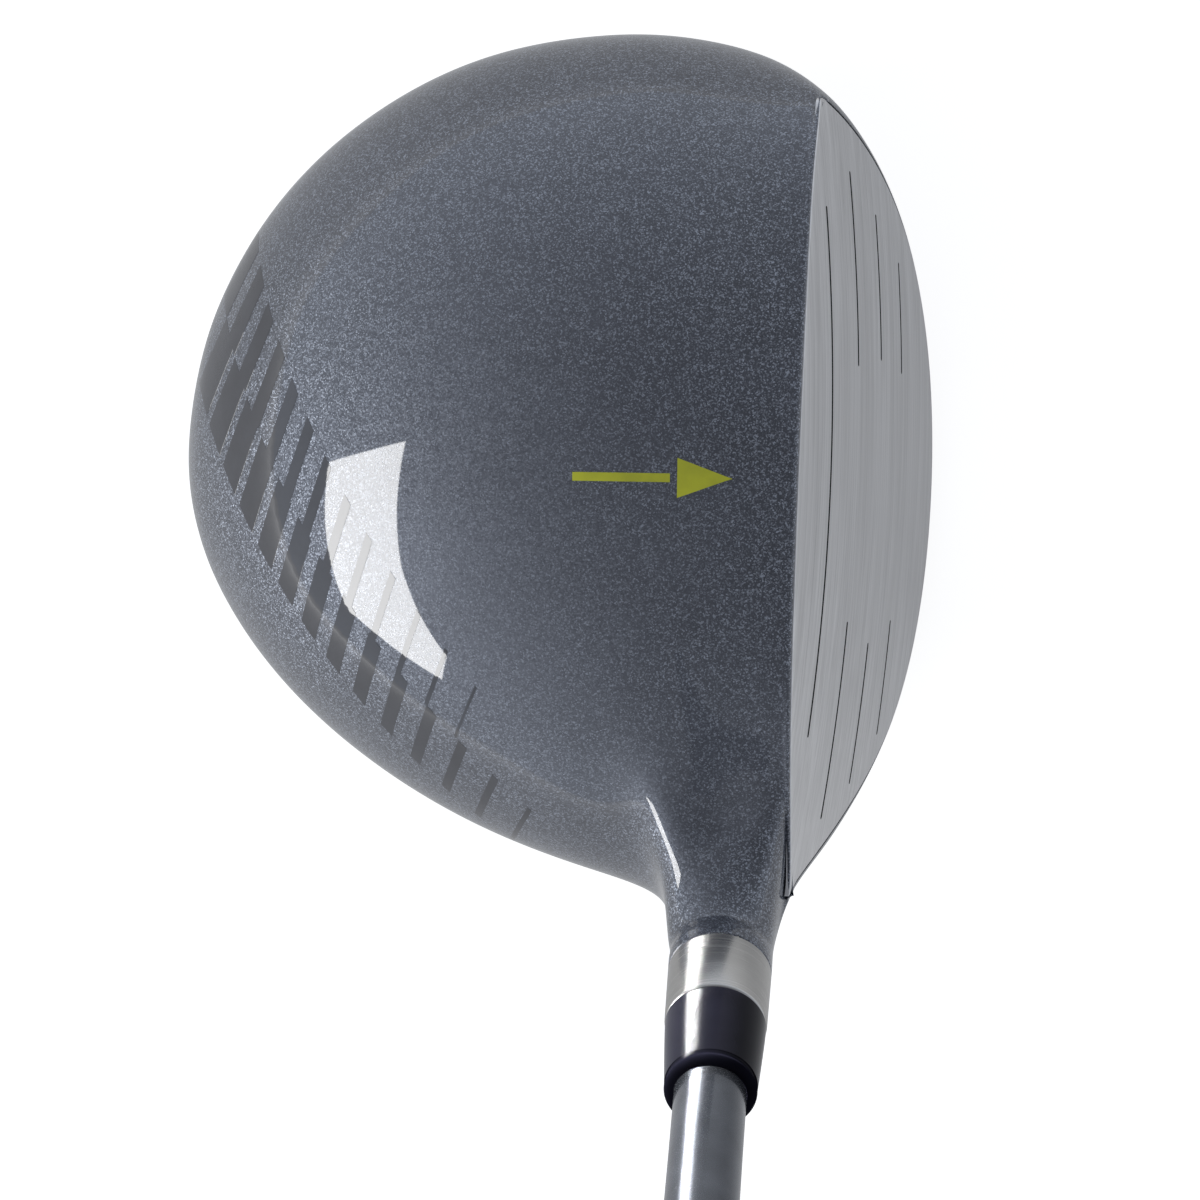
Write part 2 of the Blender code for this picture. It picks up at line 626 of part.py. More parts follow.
def build_head():
    paint_coat = paint("grey_flake_paint", (0.10, 0.11, 0.13), 0.25, 0.6)
    cast_metal = paint("cast_titanium", (0.32, 0.32, 0.33), 0.4, 1.0)
    brushed = paint("brushed_face", (0.45, 0.45, 0.45), 0.35, 1.0)
    skin = smooth_skin()
    shell("crown_shell", skin, CROWN, CROWN_T, paint_coat)
    sole = shell("sole_shell", skin, SOLE, SOLE_T, cast_metal)
    face_plate(skin, brushed)
    cut(sole, helper(oval_plate("badge_cutter", PART_GAP, -2.0, BADGE_DEPTH, cast_metal)))
    badge = paint("badge_metal", (0.5, 0.5, 0.5), 0.3, 1.0)
    oval_plate("sole_badge", 0.0, 2 * FIT, BADGE_DEPTH - 2 * FIT, badge)
    weight_port(sole, cast_metal, paint("tungsten", (0.25, 0.25, 0.26), 0.4, 1.0))
    hot_melt_pad(paint("hot_melt", (0.7, 0.6, 0.35), 0.6))
    hosel_tube(paint("bare_steel", (0.45, 0.45, 0.44), 0.3, 1.0))
    hosel_bore_plug(paint("plug_plastic", (0.8, 0.8, 0.78), 0.5))


def build_shaft_and_grip():
    rubber = paint("grip_rubber", (0.03, 0.03, 0.03), 0.8)
    ferrule(paint("ferrule_black", (0.02, 0.02, 0.022), 0.12))
    bond_sleeve(paint("epoxy", (0.5, 0.5, 0.42), 0.4))
    shaft(paint("shaft_paint", (0.16, 0.17, 0.19), 0.15, 0.4))
    tip_weight(paint("brass_pin", (0.6, 0.45, 0.2), 0.35, 1.0))
    grip_tape(paint("tape", (0.75, 0.72, 0.6), 0.8))
    grip_sleeve(rubber)
    grip_cap(rubber)


def clear_scene():
    for obj in list(bpy.data.objects):
        bpy.data.objects.remove(obj, do_unlink=True)


clear_scene()
build_head()
build_shaft_and_grip()
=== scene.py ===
"""Looks of the golf driver: fine surfaces, finishes, studio light and camera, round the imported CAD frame.

Sizes are millimetres in the CAD's own frame (+X the target, +Y the toe, +Z up, origin on the ground under
the sole). Meshes are made in metres.
"""

from math import cos, exp, pi, radians, sin, sqrt, tan

import bmesh
import bpy
from mathutils import Matrix, Vector
from mathutils.bvhtree import BVHTree


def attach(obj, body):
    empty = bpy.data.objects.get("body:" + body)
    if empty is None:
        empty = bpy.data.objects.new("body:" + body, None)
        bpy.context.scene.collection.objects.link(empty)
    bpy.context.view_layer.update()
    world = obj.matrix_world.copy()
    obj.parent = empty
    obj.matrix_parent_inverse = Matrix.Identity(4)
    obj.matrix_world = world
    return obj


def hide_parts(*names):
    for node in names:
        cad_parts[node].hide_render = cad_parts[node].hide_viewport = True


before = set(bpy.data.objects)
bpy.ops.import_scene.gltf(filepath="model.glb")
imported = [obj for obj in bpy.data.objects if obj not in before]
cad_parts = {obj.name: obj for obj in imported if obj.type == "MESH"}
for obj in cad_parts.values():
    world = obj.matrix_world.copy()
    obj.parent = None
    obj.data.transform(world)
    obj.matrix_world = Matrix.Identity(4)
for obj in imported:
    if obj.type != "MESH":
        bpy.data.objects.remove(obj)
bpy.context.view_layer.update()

MM = 0.001
UP = Vector((0, 0, 1))

# The head's surface, as the CAD has it. The face: bulge and roll radii, loft, how far the toe is turned in.
FACE_X, FACE_Z = 37.0, 32.5
LOFT, CLOSED = radians(15.0), radians(1.63)
BULGE_R, ROLL_R = 322.0, 315.0
FACE_WIDE_Z, FACE_CENTRE_Z = 50.0, 34.0

# Plan outline of the head: one ellipse on the toe side and a fuller one on the heel side.
MID_Y, FACE_MID_Y, REAR_X = 3.7, 1.0, -55.5
TOE_X, TOE_R, TOE_FRONT_R = 3.0, 56.7, 48.5
HEEL_X, HEEL_R, HEEL_FRONT_R, HEEL_POWER = 22.0, 56.2, 24.0, 1.85
FAIRING_X, FAIRING_R, FAIRING_LENGTH = 10.0, 2.0, 9.0

# Heights along the middle: crown ridge, widest line (the skirt) and sole.
CREST_X, CREST_Z, FACE_TOP_DROP, CREST_TO_FACE = 8.0, 66.0, 2.4, 19.7
CROWN_FULLNESS, CROWN_END = 2.1, 0.62
REAR_Z, SKIRT_RISE, SKIRT_POWER = 24.0, 11.0, 1.3
SKIRT_FRONT_RISE, SKIRT_FRONT_LENGTH, SKIRT_TILT = 15.0, 7.0, 0.012
SOLE_DIP, SOLE_FLAT_FROM, SOLE_FLAT_TO = 1.0, 10.0, 20.0
LEADING_EDGE_Z, FLAT_TO_LEADING_EDGE = 3.0, 23.5
SOLE_FULLNESS, SOLE_END = 3.0, 0.6

# Near the face the section's middle moves and its corners fill out, over a short length behind the face.
MIDDLE_LENGTH, CORNER_LENGTH = 6.0, 4.0
UPPER_CORNER = {1: 0.5, -1: 0.95}
LOWER_CORNER = {1: 0.65, -1: 2.1}
LEAN_Y = 50.0

# Control cage: ring stations from the face to the back, and how far each ring leans with the face.
RINGS = ((30.93, 1.0), (21.4, 0.75), (10.0, 0.45), (-1.0, 0.2), (-13.0, 0.0),
         (-25.0, 0.0), (-36.5, 0.0), (-45.5, 0.0), (-51.3, 0.0))
COLUMNS, SEAM_COLUMN = 16, 8
SEAM_TOE, NECK_FOOT_TURN, SEAM_HEEL = radians(-8.0), radians(136.0), radians(194.5)
NECK_RINGS, NECK_COLUMNS = (1, 2, 3), (6, 7, 8)
CAP_CELLS = 4
CROWN, SOLE, FACE_SEAT = 0, 1, 2
SKIN_LEVELS, SKIN_ROUNDS = 4, 6
CROWN_T, SOLE_T = 0.8, 1.3

# Where crown and sole paint roll over at the bare face: the gap, the edge's radius, and the length of outline
# over which it fades at a corner. HAIRLINE is the gap where crown and sole meet.
EDGE_GAP, EDGE_R, EDGE_SPREAD, EDGE_STEPS, EDGE_DEEPEST = 0.1, 0.4, 1.2, 6, 0.98
HAIRLINE = 0.04

# Face plate: its size inside the paint's edge, the rings of its front, its bevel over about half the plate's
# height, and the thickness of lip and edge. Its back is levels of (share of the outline, depth).
PLATE_SCALE, PLATE_RINGS, FACE_BEVEL, PLATE_HALF = 0.9965, 20, 0.12, 30.0
FACE_INSET, FACE_LIP_T, FACE_EDGE_T, FACE_MID_T = 0.95, 0.6, 2.4, 3.6
PLATE_BACK = ((1.0, FACE_LIP_T), (FACE_INSET, FACE_LIP_T), (FACE_INSET, FACE_EDGE_T), (0.7, 2.9), (0.2, 3.5))

# Shaft line and the turned pieces on it, with stations measured up the line from the ground.
SHAFT_X, SHAFT_Y, LIE = 18.2, -21.6, radians(57.0)
AXIS = Vector((0.0, -cos(LIE), sin(LIE)))
ACROSS = AXIS.cross(Vector((1, 0, 0)))
NECK_LOW, NECK_MID, NECK_HIGH, NECK_TOP = 63.0, 65.5, 67.9, 70.2
NECK_R, NECK_HIGH_R, NECK_MID_R, NECK_LOW_R = 6.53, 6.54, 6.56, 6.62
FOOT_BLEND, FOOT_BLEND_SIDES = 0.58, 0.2     # how far the neck's foot is from the head towards the neck
HOSEL_FOOT, HOSEL_TOP = 20.0, 80.5
HOSEL_R, HOSEL_BORE_R, HOSEL_TOP_R = 5.1, 4.68, 6.34
HOSEL_LIP = ((0.06, -0.35), (-0.02, -0.1), (-0.15, 0.0))     # rounded top: radius and station past the top's
TIP_END, FERRULE_LENGTH, FERRULE_R, BEAD_R = 48.0, 13.2, 6.3, 5.7
BUTT_END = 1143.0
TIP_R, BUTT_R, TAPER_START, SHAFT_WALL, TIP_IN, TIP_ALONG = 4.48, 7.6, 105.0, 1.2, 0.4, 0.6
GRIP_LENGTH, GRIP_MOUTH_R, GRIP_BUTT_R = 268.0, 8.9, 13.2
GRIP_STRAIGHT = 0.72     # share of the grip's growth in radius that is even; the rest is near the butt
MOUTH_ROUND, MOUTH_LENGTH = 0.9, 1.0
CAP_T, CAP_ROUND, VENT_R, TAPE_T = 4.5, 1.8, 1.6, 0.25
BUTT_GAP, FERRULE_GAP, FERRULE_FIT, TAPE_GAP, CAP_GAP = 0.3, 0.1, 0.05, 0.1, 0.1
TURNED_GAP, TURNED_EDGE, TURNED_STEPS, ROUND_STEPS, SHAFT_ROWS = 0.12, 0.15, 96, 8, 12

# Ferrule, with lengths from its two ends: the body narrows to a groove, and a rounded bead follows it.
BODY_FROM, BODY_TO, BODY_PROUD, BODY_POWER = 0.3, 1.8, 0.06, 1.2
GROOVE_BACK, GROOVE_DEPTH, GROOVE_FLOOR = 1.4, 0.2, ((0.15, -0.45), (0.0, -0.15), (0.0, 0.05))
BEAD_FROM, BEAD_RISE, BEAD_STEPS = 0.1, 0.5, 5
BEAD_PROUD, BEAD_ROUND, BEAD_DROP = 0.05, 0.8, 0.9

# Grip pattern: a field of lozenges, and bands of rings past the grip's mouth and before its cap.
LOZENGE_COUNT, LOZENGE_PITCH, LOZENGE_DEPTH, LOZENGE_WIDE = 24, 6.0, 0.4, 0.42
FIELD_FROM, FIELD_TO, MOUTH_BAND, CAP_BAND = 30.0, 22.0, (14.0, 24.0), (16.0, 8.0)
RING_PITCH, RING_DEPTH, RING_POWER, GRIP_SKIN = 3.2, 0.35, 4, 0.5
GRIP_ROWS, GRIP_STEPS, MOUTH_STEPS = 300, 192, 5

# Cap: a fine line round it, and a round channel in its end, as radii inwards from the rim and depths.
CAP_LINE, CAP_LINE_HALF, CAP_LINE_DEPTH = 1.9, 0.3, 0.18
CAP_CHANNEL = ((4.2, 0.0), (4.4, 0.25), (5.0, 0.25), (5.2, 0.0))

# Under the sole: the badge's recess and the weight port, each a little wider than what sits in it. Then the
# angles, in degrees, from which edges are drawn sharp.
BADGE_X, BADGE_HALF_X, BADGE_HALF_Y, BADGE_DEPTH = -20.0, 5.8, 12.3, 0.6
PORT_X, PORT_R, PORT_DEPTH, RECESS_STEPS = -40.0, 7.3, 7.0, 96
PIECE_SHARP, SKIN_SHARP, CUT_SHARP = 35.0, 40.0, 25.0

# Score lines: height on the face, then the heel end and the toe end.
SCORE_WIDTH, SCORE_DEPTH, SCORE_OUT, SCORE_STEP = 0.5, 0.3, 0.5, 1.5
SCORE_END_STEPS, SCORE_FLOOR_STEPS, SCORE_LEAST = 4, 6, 0.02
SCORE_LINES = ((52.9, -30.0, 36.8), (43.1, 17.3, 41.8), (43.1, -41.0, -16.0), (33.4, 18.3, 36.8),
               (33.4, -37.0, -19.0), (23.6, 16.8, 31.0), (23.6, -31.0, -16.3))

# Stage: a floor just under the object, in metres, and how bright it is to the eye, and near and far to
# reflections. The surround reflects bright at the horizon and dim overhead.
FLOOR_HALF, FLOOR_Z = 3.0, -0.0002
FLOOR_SEEN, FLOOR_LIT, FLOOR_LIT_FAR, FLOOR_NEAR, FLOOR_FAR = 0.85, 0.2, 0.6, 0.15, 1.2
HORIZON_GLOW, OVERHEAD_GLOW = (0.7, 0.75, 0.84, 1.0), (0.16, 0.165, 0.18, 1.0)
GLOW_UP, OVERHEAD_FROM = (0.05, -0.15, 1.0), 0.95
WHITE = (1.0, 1.0, 1.0, 1.0)

# The window-like light. Its corners are degrees from -X towards -Y, and degrees up, as seen from the head.
SOFTBOX_AIM, SOFTBOX_AWAY, SOFTBOX_STRENGTH = Vector((0, 0, 55)), 1500.0, 8.0
SOFTBOX_CORNERS = ((0.5, 17.5), (-4.5, 37.5), (25.0, 29.5), (44.0, 22.8), (47.0, 14.0), (29.0, 7.5))

# Strip lights beyond the toe: their direction from a station on the shaft line, and how strong each is.
STRIP_WAY, STRIP_STATION, STRIP_AWAY = Vector((-0.45, 0.755, -0.48)), 110.0, 200.0
STRIP_WIDE, STRIP_TALL = 70.0, 500.0
STRIPS = {"hosel": 2.8, "ferrule": 50.0, "shaft": 15.0}

# Camera: what it looks at and from how far, its leans and roll, and its lens.
CAMERA_AIM, CAMERA_AWAY = Vector((0.53, -13.8, 33.5)), 650.0
CAMERA_TILT_X, CAMERA_TILT_Y, CAMERA_ROLL = radians(4.079), radians(1.524), radians(-0.926)
CAMERA_SENSOR, CAMERA_LENS, CAMERA_CLIP = 36.0, 148.92, (0.01, 50.0)

# Printed marks: film thickness above and below the paint's surface. Bars lie in two rows between two curves,
# as shares of the way up, and their widths are shares of the pitch that shrink towards the heel.
PRINT_HIGH, PRINT_DEEP = 0.03, 0.2
BAR_COUNT, BAR_STEPS, BAR_ACROSS = 15, 16, 4
BAR_OUTER = ((-53.6, 14.9), (-38.6, -23.3), (-10.2, -45.6))
BAR_INNER = ((-45.1, 32.1), (-34.4, -2.9), (-3.4, -35.7))
BAR_ROWS = ((0.0, 0.49), (0.49, 1.0))
LOWER_SHARE, LOWER_LOSS, LOWER_POWER = 0.82, 0.7, 1.6
UPPER_SHARE, UPPER_LOSS, UPPER_SHIFT, UPPER_LEAST = 0.6, 0.62, 0.42, 0.05
MARK_START, MARK_LENGTH, MARK_STEM = (-0.9, 2.4), 19.9, 12.2
MARK_GAP, MARK_LINE, MARK_TALL, MARK_LEAST = 0.9, 1.1, 5.0, 0.08
STEM_STEPS, HEAD_STEPS, HEAD_ACROSS = 16, 10, 8

# Finishes: where noise values mostly lie, the clear coat, and the size of a metal flake.
NOISE_SPAN = (0.35, 0.65)
COAT_IOR, COAT_ROUGH, FLAKE = 1.75, 0.03, 0.16


# -------------------------------- objects

def mesh_of(name, bm):
    mesh = bpy.data.meshes.new(name)
    bm.to_mesh(mesh)
    bm.free()
    return mesh


def add_object(name, data):
    obj = bpy.data.objects.new(name, data)
    bpy.context.scene.collection.objects.link(obj)
    return obj


# -------------------------------- surface of the head

def face_x(y, z):
    """The face is a shallow dome, leaning back by the loft."""
    rise = z - FACE_Z
    dome = y * y / (2 * BULGE_R) + rise * rise / (2 * ROLL_R)
    return FACE_X - tan(LOFT) * rise - dome + tan(CLOSED) * y


def half_width(x, side):
    """Distance from the middle line to the outline at station x; side is +1 at the toe."""
    if side > 0:
        reach = TOE_FRONT_R if x > TOE_X else TOE_X - REAR_X
        return TOE_R * sqrt(max(0.0, 1 - ((x - TOE_X) / reach) ** 2))
    t = abs(x - HEEL_X) / (HEEL_FRONT_R if x > HEEL_X else HEEL_X - REAR_X)
    fairing = FAIRING_R * exp(-(((x - FAIRING_X) / FAIRING_LENGTH) ** 2))
    return HEEL_R * max(0.0, 1 - t ** HEEL_POWER) ** (1 / HEEL_POWER) + fairing


def crown_z(x):
    if x > CREST_X:
        return CREST_Z - FACE_TOP_DROP * ((x - CREST_X) / CREST_TO_FACE) ** 2
    t = min(1.0, (CREST_X - x) / (CREST_X - REAR_X))
    return REAR_Z + (CREST_Z - REAR_Z) * (1 - t ** CROWN_FULLNESS) ** CROWN_END


def sole_z(x):
    if x > SOLE_FLAT_TO:
        t = (x - SOLE_FLAT_TO) / FLAT_TO_LEADING_EDGE
        return -SOLE_DIP + (LEADING_EDGE_Z + SOLE_DIP) * t ** 2
    t = min(1.0, max(0.0, (SOLE_FLAT_FROM - x) / (SOLE_FLAT_FROM - REAR_X)))
    return REAR_Z - (REAR_Z + SOLE_DIP) * (1 - t ** SOLE_FULLNESS) ** SOLE_END


def behind_face(x):
    return face_x(0, FACE_WIDE_Z) - x


def skirt_z(x):
    t = max(0.0, (x - REAR_X) / (face_x(0, FACE_WIDE_Z) - REAR_X))
    front = SKIRT_FRONT_RISE * exp(-behind_face(x) / SKIRT_FRONT_LENGTH)
    return REAR_Z + SKIRT_RISE * t ** SKIRT_POWER + front


def lean(y, z):
    return face_x(y, z) - face_x(0, FACE_WIDE_Z)


def section_point(x, tilt, turn):
    """A point of the section at station x, turn radians up from the toe side."""
    side = 1 if cos(turn) > 0 else -1
    edge_x = x + tilt * lean(side * LEAN_Y, FACE_WIDE_Z)
    near_face = exp(-behind_face(x) / MIDDLE_LENGTH)
    mid_y = MID_Y + (FACE_MID_Y - MID_Y) * near_face
    edge_y = MID_Y + side * half_width(edge_x, side)
    y = mid_y + (edge_y - mid_y) * abs(cos(turn))
    middle = skirt_z(x) + SKIRT_TILT * y * near_face
    corner = exp(-behind_face(x) / CORNER_LENGTH)
    if sin(turn) > 0:
        limit = crown_z(x + tilt * lean(0, CREST_Z))
        power = 1.0 + UPPER_CORNER[side] * corner
    else:
        limit = sole_z(x + tilt * lean(0, 0))
        power = 1.0 + LOWER_CORNER[side] * corner * (1 - abs(sin(turn)))
    z = middle + (limit - middle) * abs(sin(turn)) ** power
    return Vector((x + tilt * lean(y, z), y, z))


def back_x(y, z):
    """Where the back of the head is at height z, by halving the step."""
    low, high = REAR_X, RINGS[-1][0]
    for _ in range(30):
        x = (low + high) / 2
        side = 1 if y > MID_Y else -1
        wide = max(half_width(x, side), 1e-6)
        limit = crown_z(x) if z > skirt_z(x) else sole_z(x)
        tall = max(abs(limit - skirt_z(x)), 1e-6)
        inside = ((y - MID_Y) / wide) ** 2 + ((z - skirt_z(x)) / tall) ** 2 < 1
        low, high = (low, x) if inside else (x, high)
    return high


def shaft_point(s, r=0.0, turn=0.0):
    """A point s up the shaft line, r out from it; turn 0 is towards the target."""
    out = Vector((cos(turn), 0, 0)) + sin(turn) * ACROSS
    return Vector((SHAFT_X, SHAFT_Y, 0)) + s * AXIS + r * out


def column_turn(j):
    """Columns are evenly spread over the crown, over the neck's foot, and over the sole."""
    foot = NECK_COLUMNS[0]
    if j <= foot:
        return SEAM_TOE + (NECK_FOOT_TURN - SEAM_TOE) * j / foot
    if j <= SEAM_COLUMN:
        return NECK_FOOT_TURN + (SEAM_HEEL - NECK_FOOT_TURN) * (j - foot) / (SEAM_COLUMN - foot)
    share = (j - SEAM_COLUMN) / (COLUMNS - SEAM_COLUMN)
    return SEAM_HEEL + (SEAM_TOE + 2 * pi - SEAM_HEEL) * share


def cap_rim(ring):
    """The last ring as the rim of a square net: the place in the net of each of its items."""
    n = CAP_CELLS
    rim = [ring[(n // 2 + k) % COLUMNS] for k in range(COLUMNS)]
    net = {}
    for a in range(n + 1):
        net[a, 0], net[n, a] = rim[a], rim[n + a]
        net[n - a, n], net[0, n - a] = rim[2 * n + a], rim[(3 * n + a) % COLUMNS]
    return net


def fill_cap(bm, ring):
    """Closes the back with a square net of faces."""
    n = CAP_CELLS
    verts = cap_rim(ring)
    net = {place: vert.co for place, vert in verts.items()}
    for a in range(1, n):
        for b in range(1, n):
            u, v = a / n, b / n
            flat = (1 - v) * net[a, 0] + v * net[a, n] + (1 - u) * net[0, b] + u * net[n, b]
            flat -= (1 - u) * (1 - v) * net[0, 0] + u * (1 - v) * net[n, 0]
            flat -= (1 - u) * v * net[0, n] + u * v * net[n, n]
            verts[a, b] = bm.verts.new((back_x(flat.y, flat.z), flat.y, flat.z))
    for a in range(n):
        for b in range(n):
            corners = (verts[a, b], verts[a + 1, b], verts[a + 1, b + 1], verts[a, b + 1])
            bm.faces.new(corners).material_index = SOLE if b >= n // 2 else CROWN


def add_neck(bm, rows):
    """The painted neck: rings of eight points that close in on the shaft line."""
    near, mid, far = NECK_RINGS
    top, side, low = NECK_COLUMNS
    order = ((near, side), (near, top), (mid, top), (far, top),
             (far, side), (far, low), (mid, low), (near, low))
    rim = [rows[i][j] for i, j in order]
    turns = [pi * k / 4 for k in range(8)]
    low_ring = [shaft_point(NECK_LOW, NECK_LOW_R, turn) for turn in turns]
    blends = [FOOT_BLEND + FOOT_BLEND_SIDES * abs(cos(turn)) for turn in turns]
    foot = [v.co.lerp(end, blend) for v, end, blend in zip(rim, low_ring, blends)]
    mid_ring = [shaft_point(NECK_MID, NECK_MID_R, turn) for turn in turns]
    high_ring = [shaft_point(NECK_HIGH, NECK_HIGH_R, turn) for turn in turns]
    top_ring = [shaft_point(NECK_TOP, NECK_R, turn) for turn in turns]
    for points in (foot, mid_ring, high_ring, top_ring):
        loop = [bm.verts.new(point) for point in points]
        for k in range(8):
            bm.faces.new((rim[k - 1], rim[k], loop[k], loop[k - 1]))
        rim = loop


def head_cage():
    """Control cage of the whole outer skin, open at the face and at the top of the neck."""
    bm = bmesh.new()
    stations = ((face_x(0, FACE_WIDE_Z), 1.0),) + RINGS
    rows = [[bm.verts.new(section_point(x, tilt, column_turn(j))) for j in range(COLUMNS)]
            for x, tilt in stations]
    for i in range(len(rows) - 1):
        for j in range(COLUMNS):
            if i in NECK_RINGS[:2] and j in NECK_COLUMNS[:2]:
                continue
            k = (j + 1) % COLUMNS
            face = bm.faces.new((rows[i][j], rows[i][k], rows[i + 1][k], rows[i + 1][j]))
            face.material_index = FACE_SEAT if i == 0 else int(j >= SEAM_COLUMN)
    add_neck(bm, rows)
    bm.verts.remove(rows[NECK_RINGS[1]][NECK_COLUMNS[1]])
    fill_cap(bm, rows[-1])
    bmesh.ops.recalc_face_normals(bm, faces=bm.faces)
    return bm


def limit_of(vert):
    """Where a subdivision surface puts this cage point."""
    if vert.is_boundary:
        ends = [e.other_vert(vert).co for e in vert.link_edges if e.is_boundary]
        return (ends[0] + 4 * vert.co + ends[1]) / 6
    n = len(vert.link_edges)
    total = n * n * vert.co
    for edge in vert.link_edges:
        total = total + 4 * edge.other_vert(vert).co
    for loop in vert.link_loops:
        total = total + loop.link_loop_next.link_loop_next.vert.co
    return total / (n * (n + 5))


def pass_through_points(bm):
    """Moves the cage so that its smooth surface passes through where its points were."""
    targets = {vert: vert.co.copy() for vert in bm.verts}
    for _ in range(SKIN_ROUNDS):
        limits = {vert: limit_of(vert) for vert in bm.verts}
        for vert in bm.verts:
            vert.co += targets[vert] - limits[vert]


def fine_skin():
    """The cage subdivided, as a mesh in millimetres whose faces keep their material index."""
    bm = head_cage()
    pass_through_points(bm)
    mesh = mesh_of("head_cage", bm)
    for index in (CROWN, SOLE, FACE_SEAT):
        mesh.materials.append(bpy.data.materials.new(f"side_{index}"))
    cage = add_object("head_cage", mesh)
    cage.modifiers.new("Subdivide", "SUBSURF").levels = SKIN_LEVELS
    graph = bpy.context.evaluated_depsgraph_get()
    skin = bpy.data.meshes.new_from_object(cage.evaluated_get(graph))
    bpy.data.objects.remove(cage)
    note_outline(skin)
    return skin


def note_outline(skin):
    """Gives each point of the seat's rear edge the point of the face's outline straight ahead of it, and the
    direction out from the outline there, which is a short one where the outline turns sharply.
    """
    bm = bmesh.new()
    bm.from_mesh(skin)
    ahead = bm.verts.layers.float_vector.new("ahead")
    outward = bm.verts.layers.float_vector.new("outward")
    rear_edge = []
    for vert in bm.verts:
        seat = {f for f in vert.link_faces if f.material_index == FACE_SEAT}
        if len(seat) == 2 and not vert.is_boundary:
            edge = next(e for e in vert.link_edges if seat == set(e.link_faces))
            vert[ahead] = end_of_row(edge, edge.other_vert(vert))
            rear_edge.append(vert)
    for vert in rear_edge:
        beside = [e.other_vert(vert)[ahead] for e in vert.link_edges]
        first, last = (point for point in beside if point.length > 0)
        out = (last - first).cross(face_normal(vert[ahead])).normalized()
        side = out.dot(vert[ahead] - Vector((FACE_X, 0, FACE_CENTRE_Z)))
        straight = max(0.0, (vert[ahead] - first).normalized().dot((last - vert[ahead]).normalized()))
        size = min(1.0, (last - first).length / EDGE_SPREAD) * straight ** 4
        vert[outward] = out * (size if side > 0 else -size)
    bm.to_mesh(skin)
    bm.free()


def face_normal(point):
    """Out from the face at a point of it."""
    rise = point.z - FACE_Z
    slope = Vector((1, point.y / BULGE_R - tan(CLOSED), tan(LOFT) + rise / ROLL_R))
    return slope.normalized()


def end_of_row(edge, vert):
    """Walks straight on from edge over vert to the border of the skin, and drops the end on to the face."""
    while not vert.is_boundary:
        edge = next(e for e in vert.link_edges if not set(e.link_faces) & set(edge.link_faces))
        vert = edge.other_vert(vert)
    return Vector((face_x(vert.co.y, vert.co.z), vert.co.y, vert.co.z))


# -------------------------------- pieces

def add_piece(name, bm, finishes, replaced=None, sharp=SKIN_SHARP):
    """Makes a piece of the object from a mesh in millimetres. It can take the place of a CAD node."""
    bmesh.ops.scale(bm, vec=(MM, MM, MM), verts=bm.verts)
    mesh = mesh_of(name, bm)
    mesh.shade_smooth()
    mesh.set_sharp_from_angle(angle=radians(sharp))
    for finish in finishes:
        mesh.materials.append(finish)
    obj = add_object(name, mesh)
    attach(obj, "root")
    if replaced:
        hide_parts(replaced)
    return obj


def depth_of(point):
    """How far a point is behind the face."""
    return face_x(point.y, point.z) - point.x


def add_lip(bm):
    """Carries the paint on to the face's edge, where it rolls over into a thin dark gap."""
    ahead = bm.verts.layers.float_vector["ahead"]
    outward = bm.verts.layers.float_vector["outward"]
    edges = [e for e in bm.edges if e.is_boundary and all(v[ahead].length > 0 for v in e.verts)]
    arc = [radians(90 * k / EDGE_STEPS) for k in range(EDGE_STEPS + 1)]
    profile = [(EDGE_GAP + EDGE_R * (1 - sin(a)), EDGE_R * (1 - cos(a))) for a in arc]
    rows = {}
    for vert in dict.fromkeys(v for edge in edges for v in edge.verts):
        here = depth_of(vert.co)
        shares = [(min(depth / here, EDGE_DEEPEST), inset) for depth, inset in profile]
        points = [vert[ahead].lerp(vert.co, share) - vert[outward] * inset for share, inset in shares]
        rows[vert] = [vert] + [bm.verts.new(point) for point in points]
    for edge in edges:
        loop = edge.link_loops[0]
        first, second = rows[loop.link_loop_next.vert], rows[loop.vert]
        for k in range(len(profile)):
            bm.faces.new((first[k], second[k], second[k + 1], first[k + 1]))


def draw_back(bm, distance):
    """Slides each boundary point away from the face inwards along the surface, as a hairline gap."""
    moves = {}
    ahead = bm.verts.layers.float_vector["ahead"]
    for vert in bm.verts:
        if not vert.is_boundary or vert[ahead].length > 0:
            continue
        inner = [e.other_vert(vert).co - vert.co for e in vert.link_edges if not e.is_boundary]
        if inner:
            moves[vert] = sum((d.normalized() for d in inner), Vector()).normalized() * distance
    for vert, move in moves.items():
        vert.co += move


def shell(name, skin, keep, thickness, finish, replaced):
    """One side of the skin as a closed shell, with a rolled edge at the face."""
    bm = bmesh.new()
    bm.from_mesh(skin)
    others = [f for f in bm.faces if f.material_index != keep]
    bmesh.ops.delete(bm, geom=others, context="FACES")
    for face in bm.faces:
        face.material_index = 0
    draw_back(bm, HAIRLINE)
    add_lip(bm)
    for vert in bm.verts:
        vert.co.z = max(vert.co.z, 0.0)
    obj = add_piece(name, bm, [finish], replaced)
    wall = obj.modifiers.new("Wall", "SOLIDIFY")
    wall.thickness = thickness * MM
    wall.offset = -1.0
    return obj


def bridge(bm, first, second):
    for k in range(len(first)):
        bm.faces.new((first[k - 1], first[k], second[k], second[k - 1]))


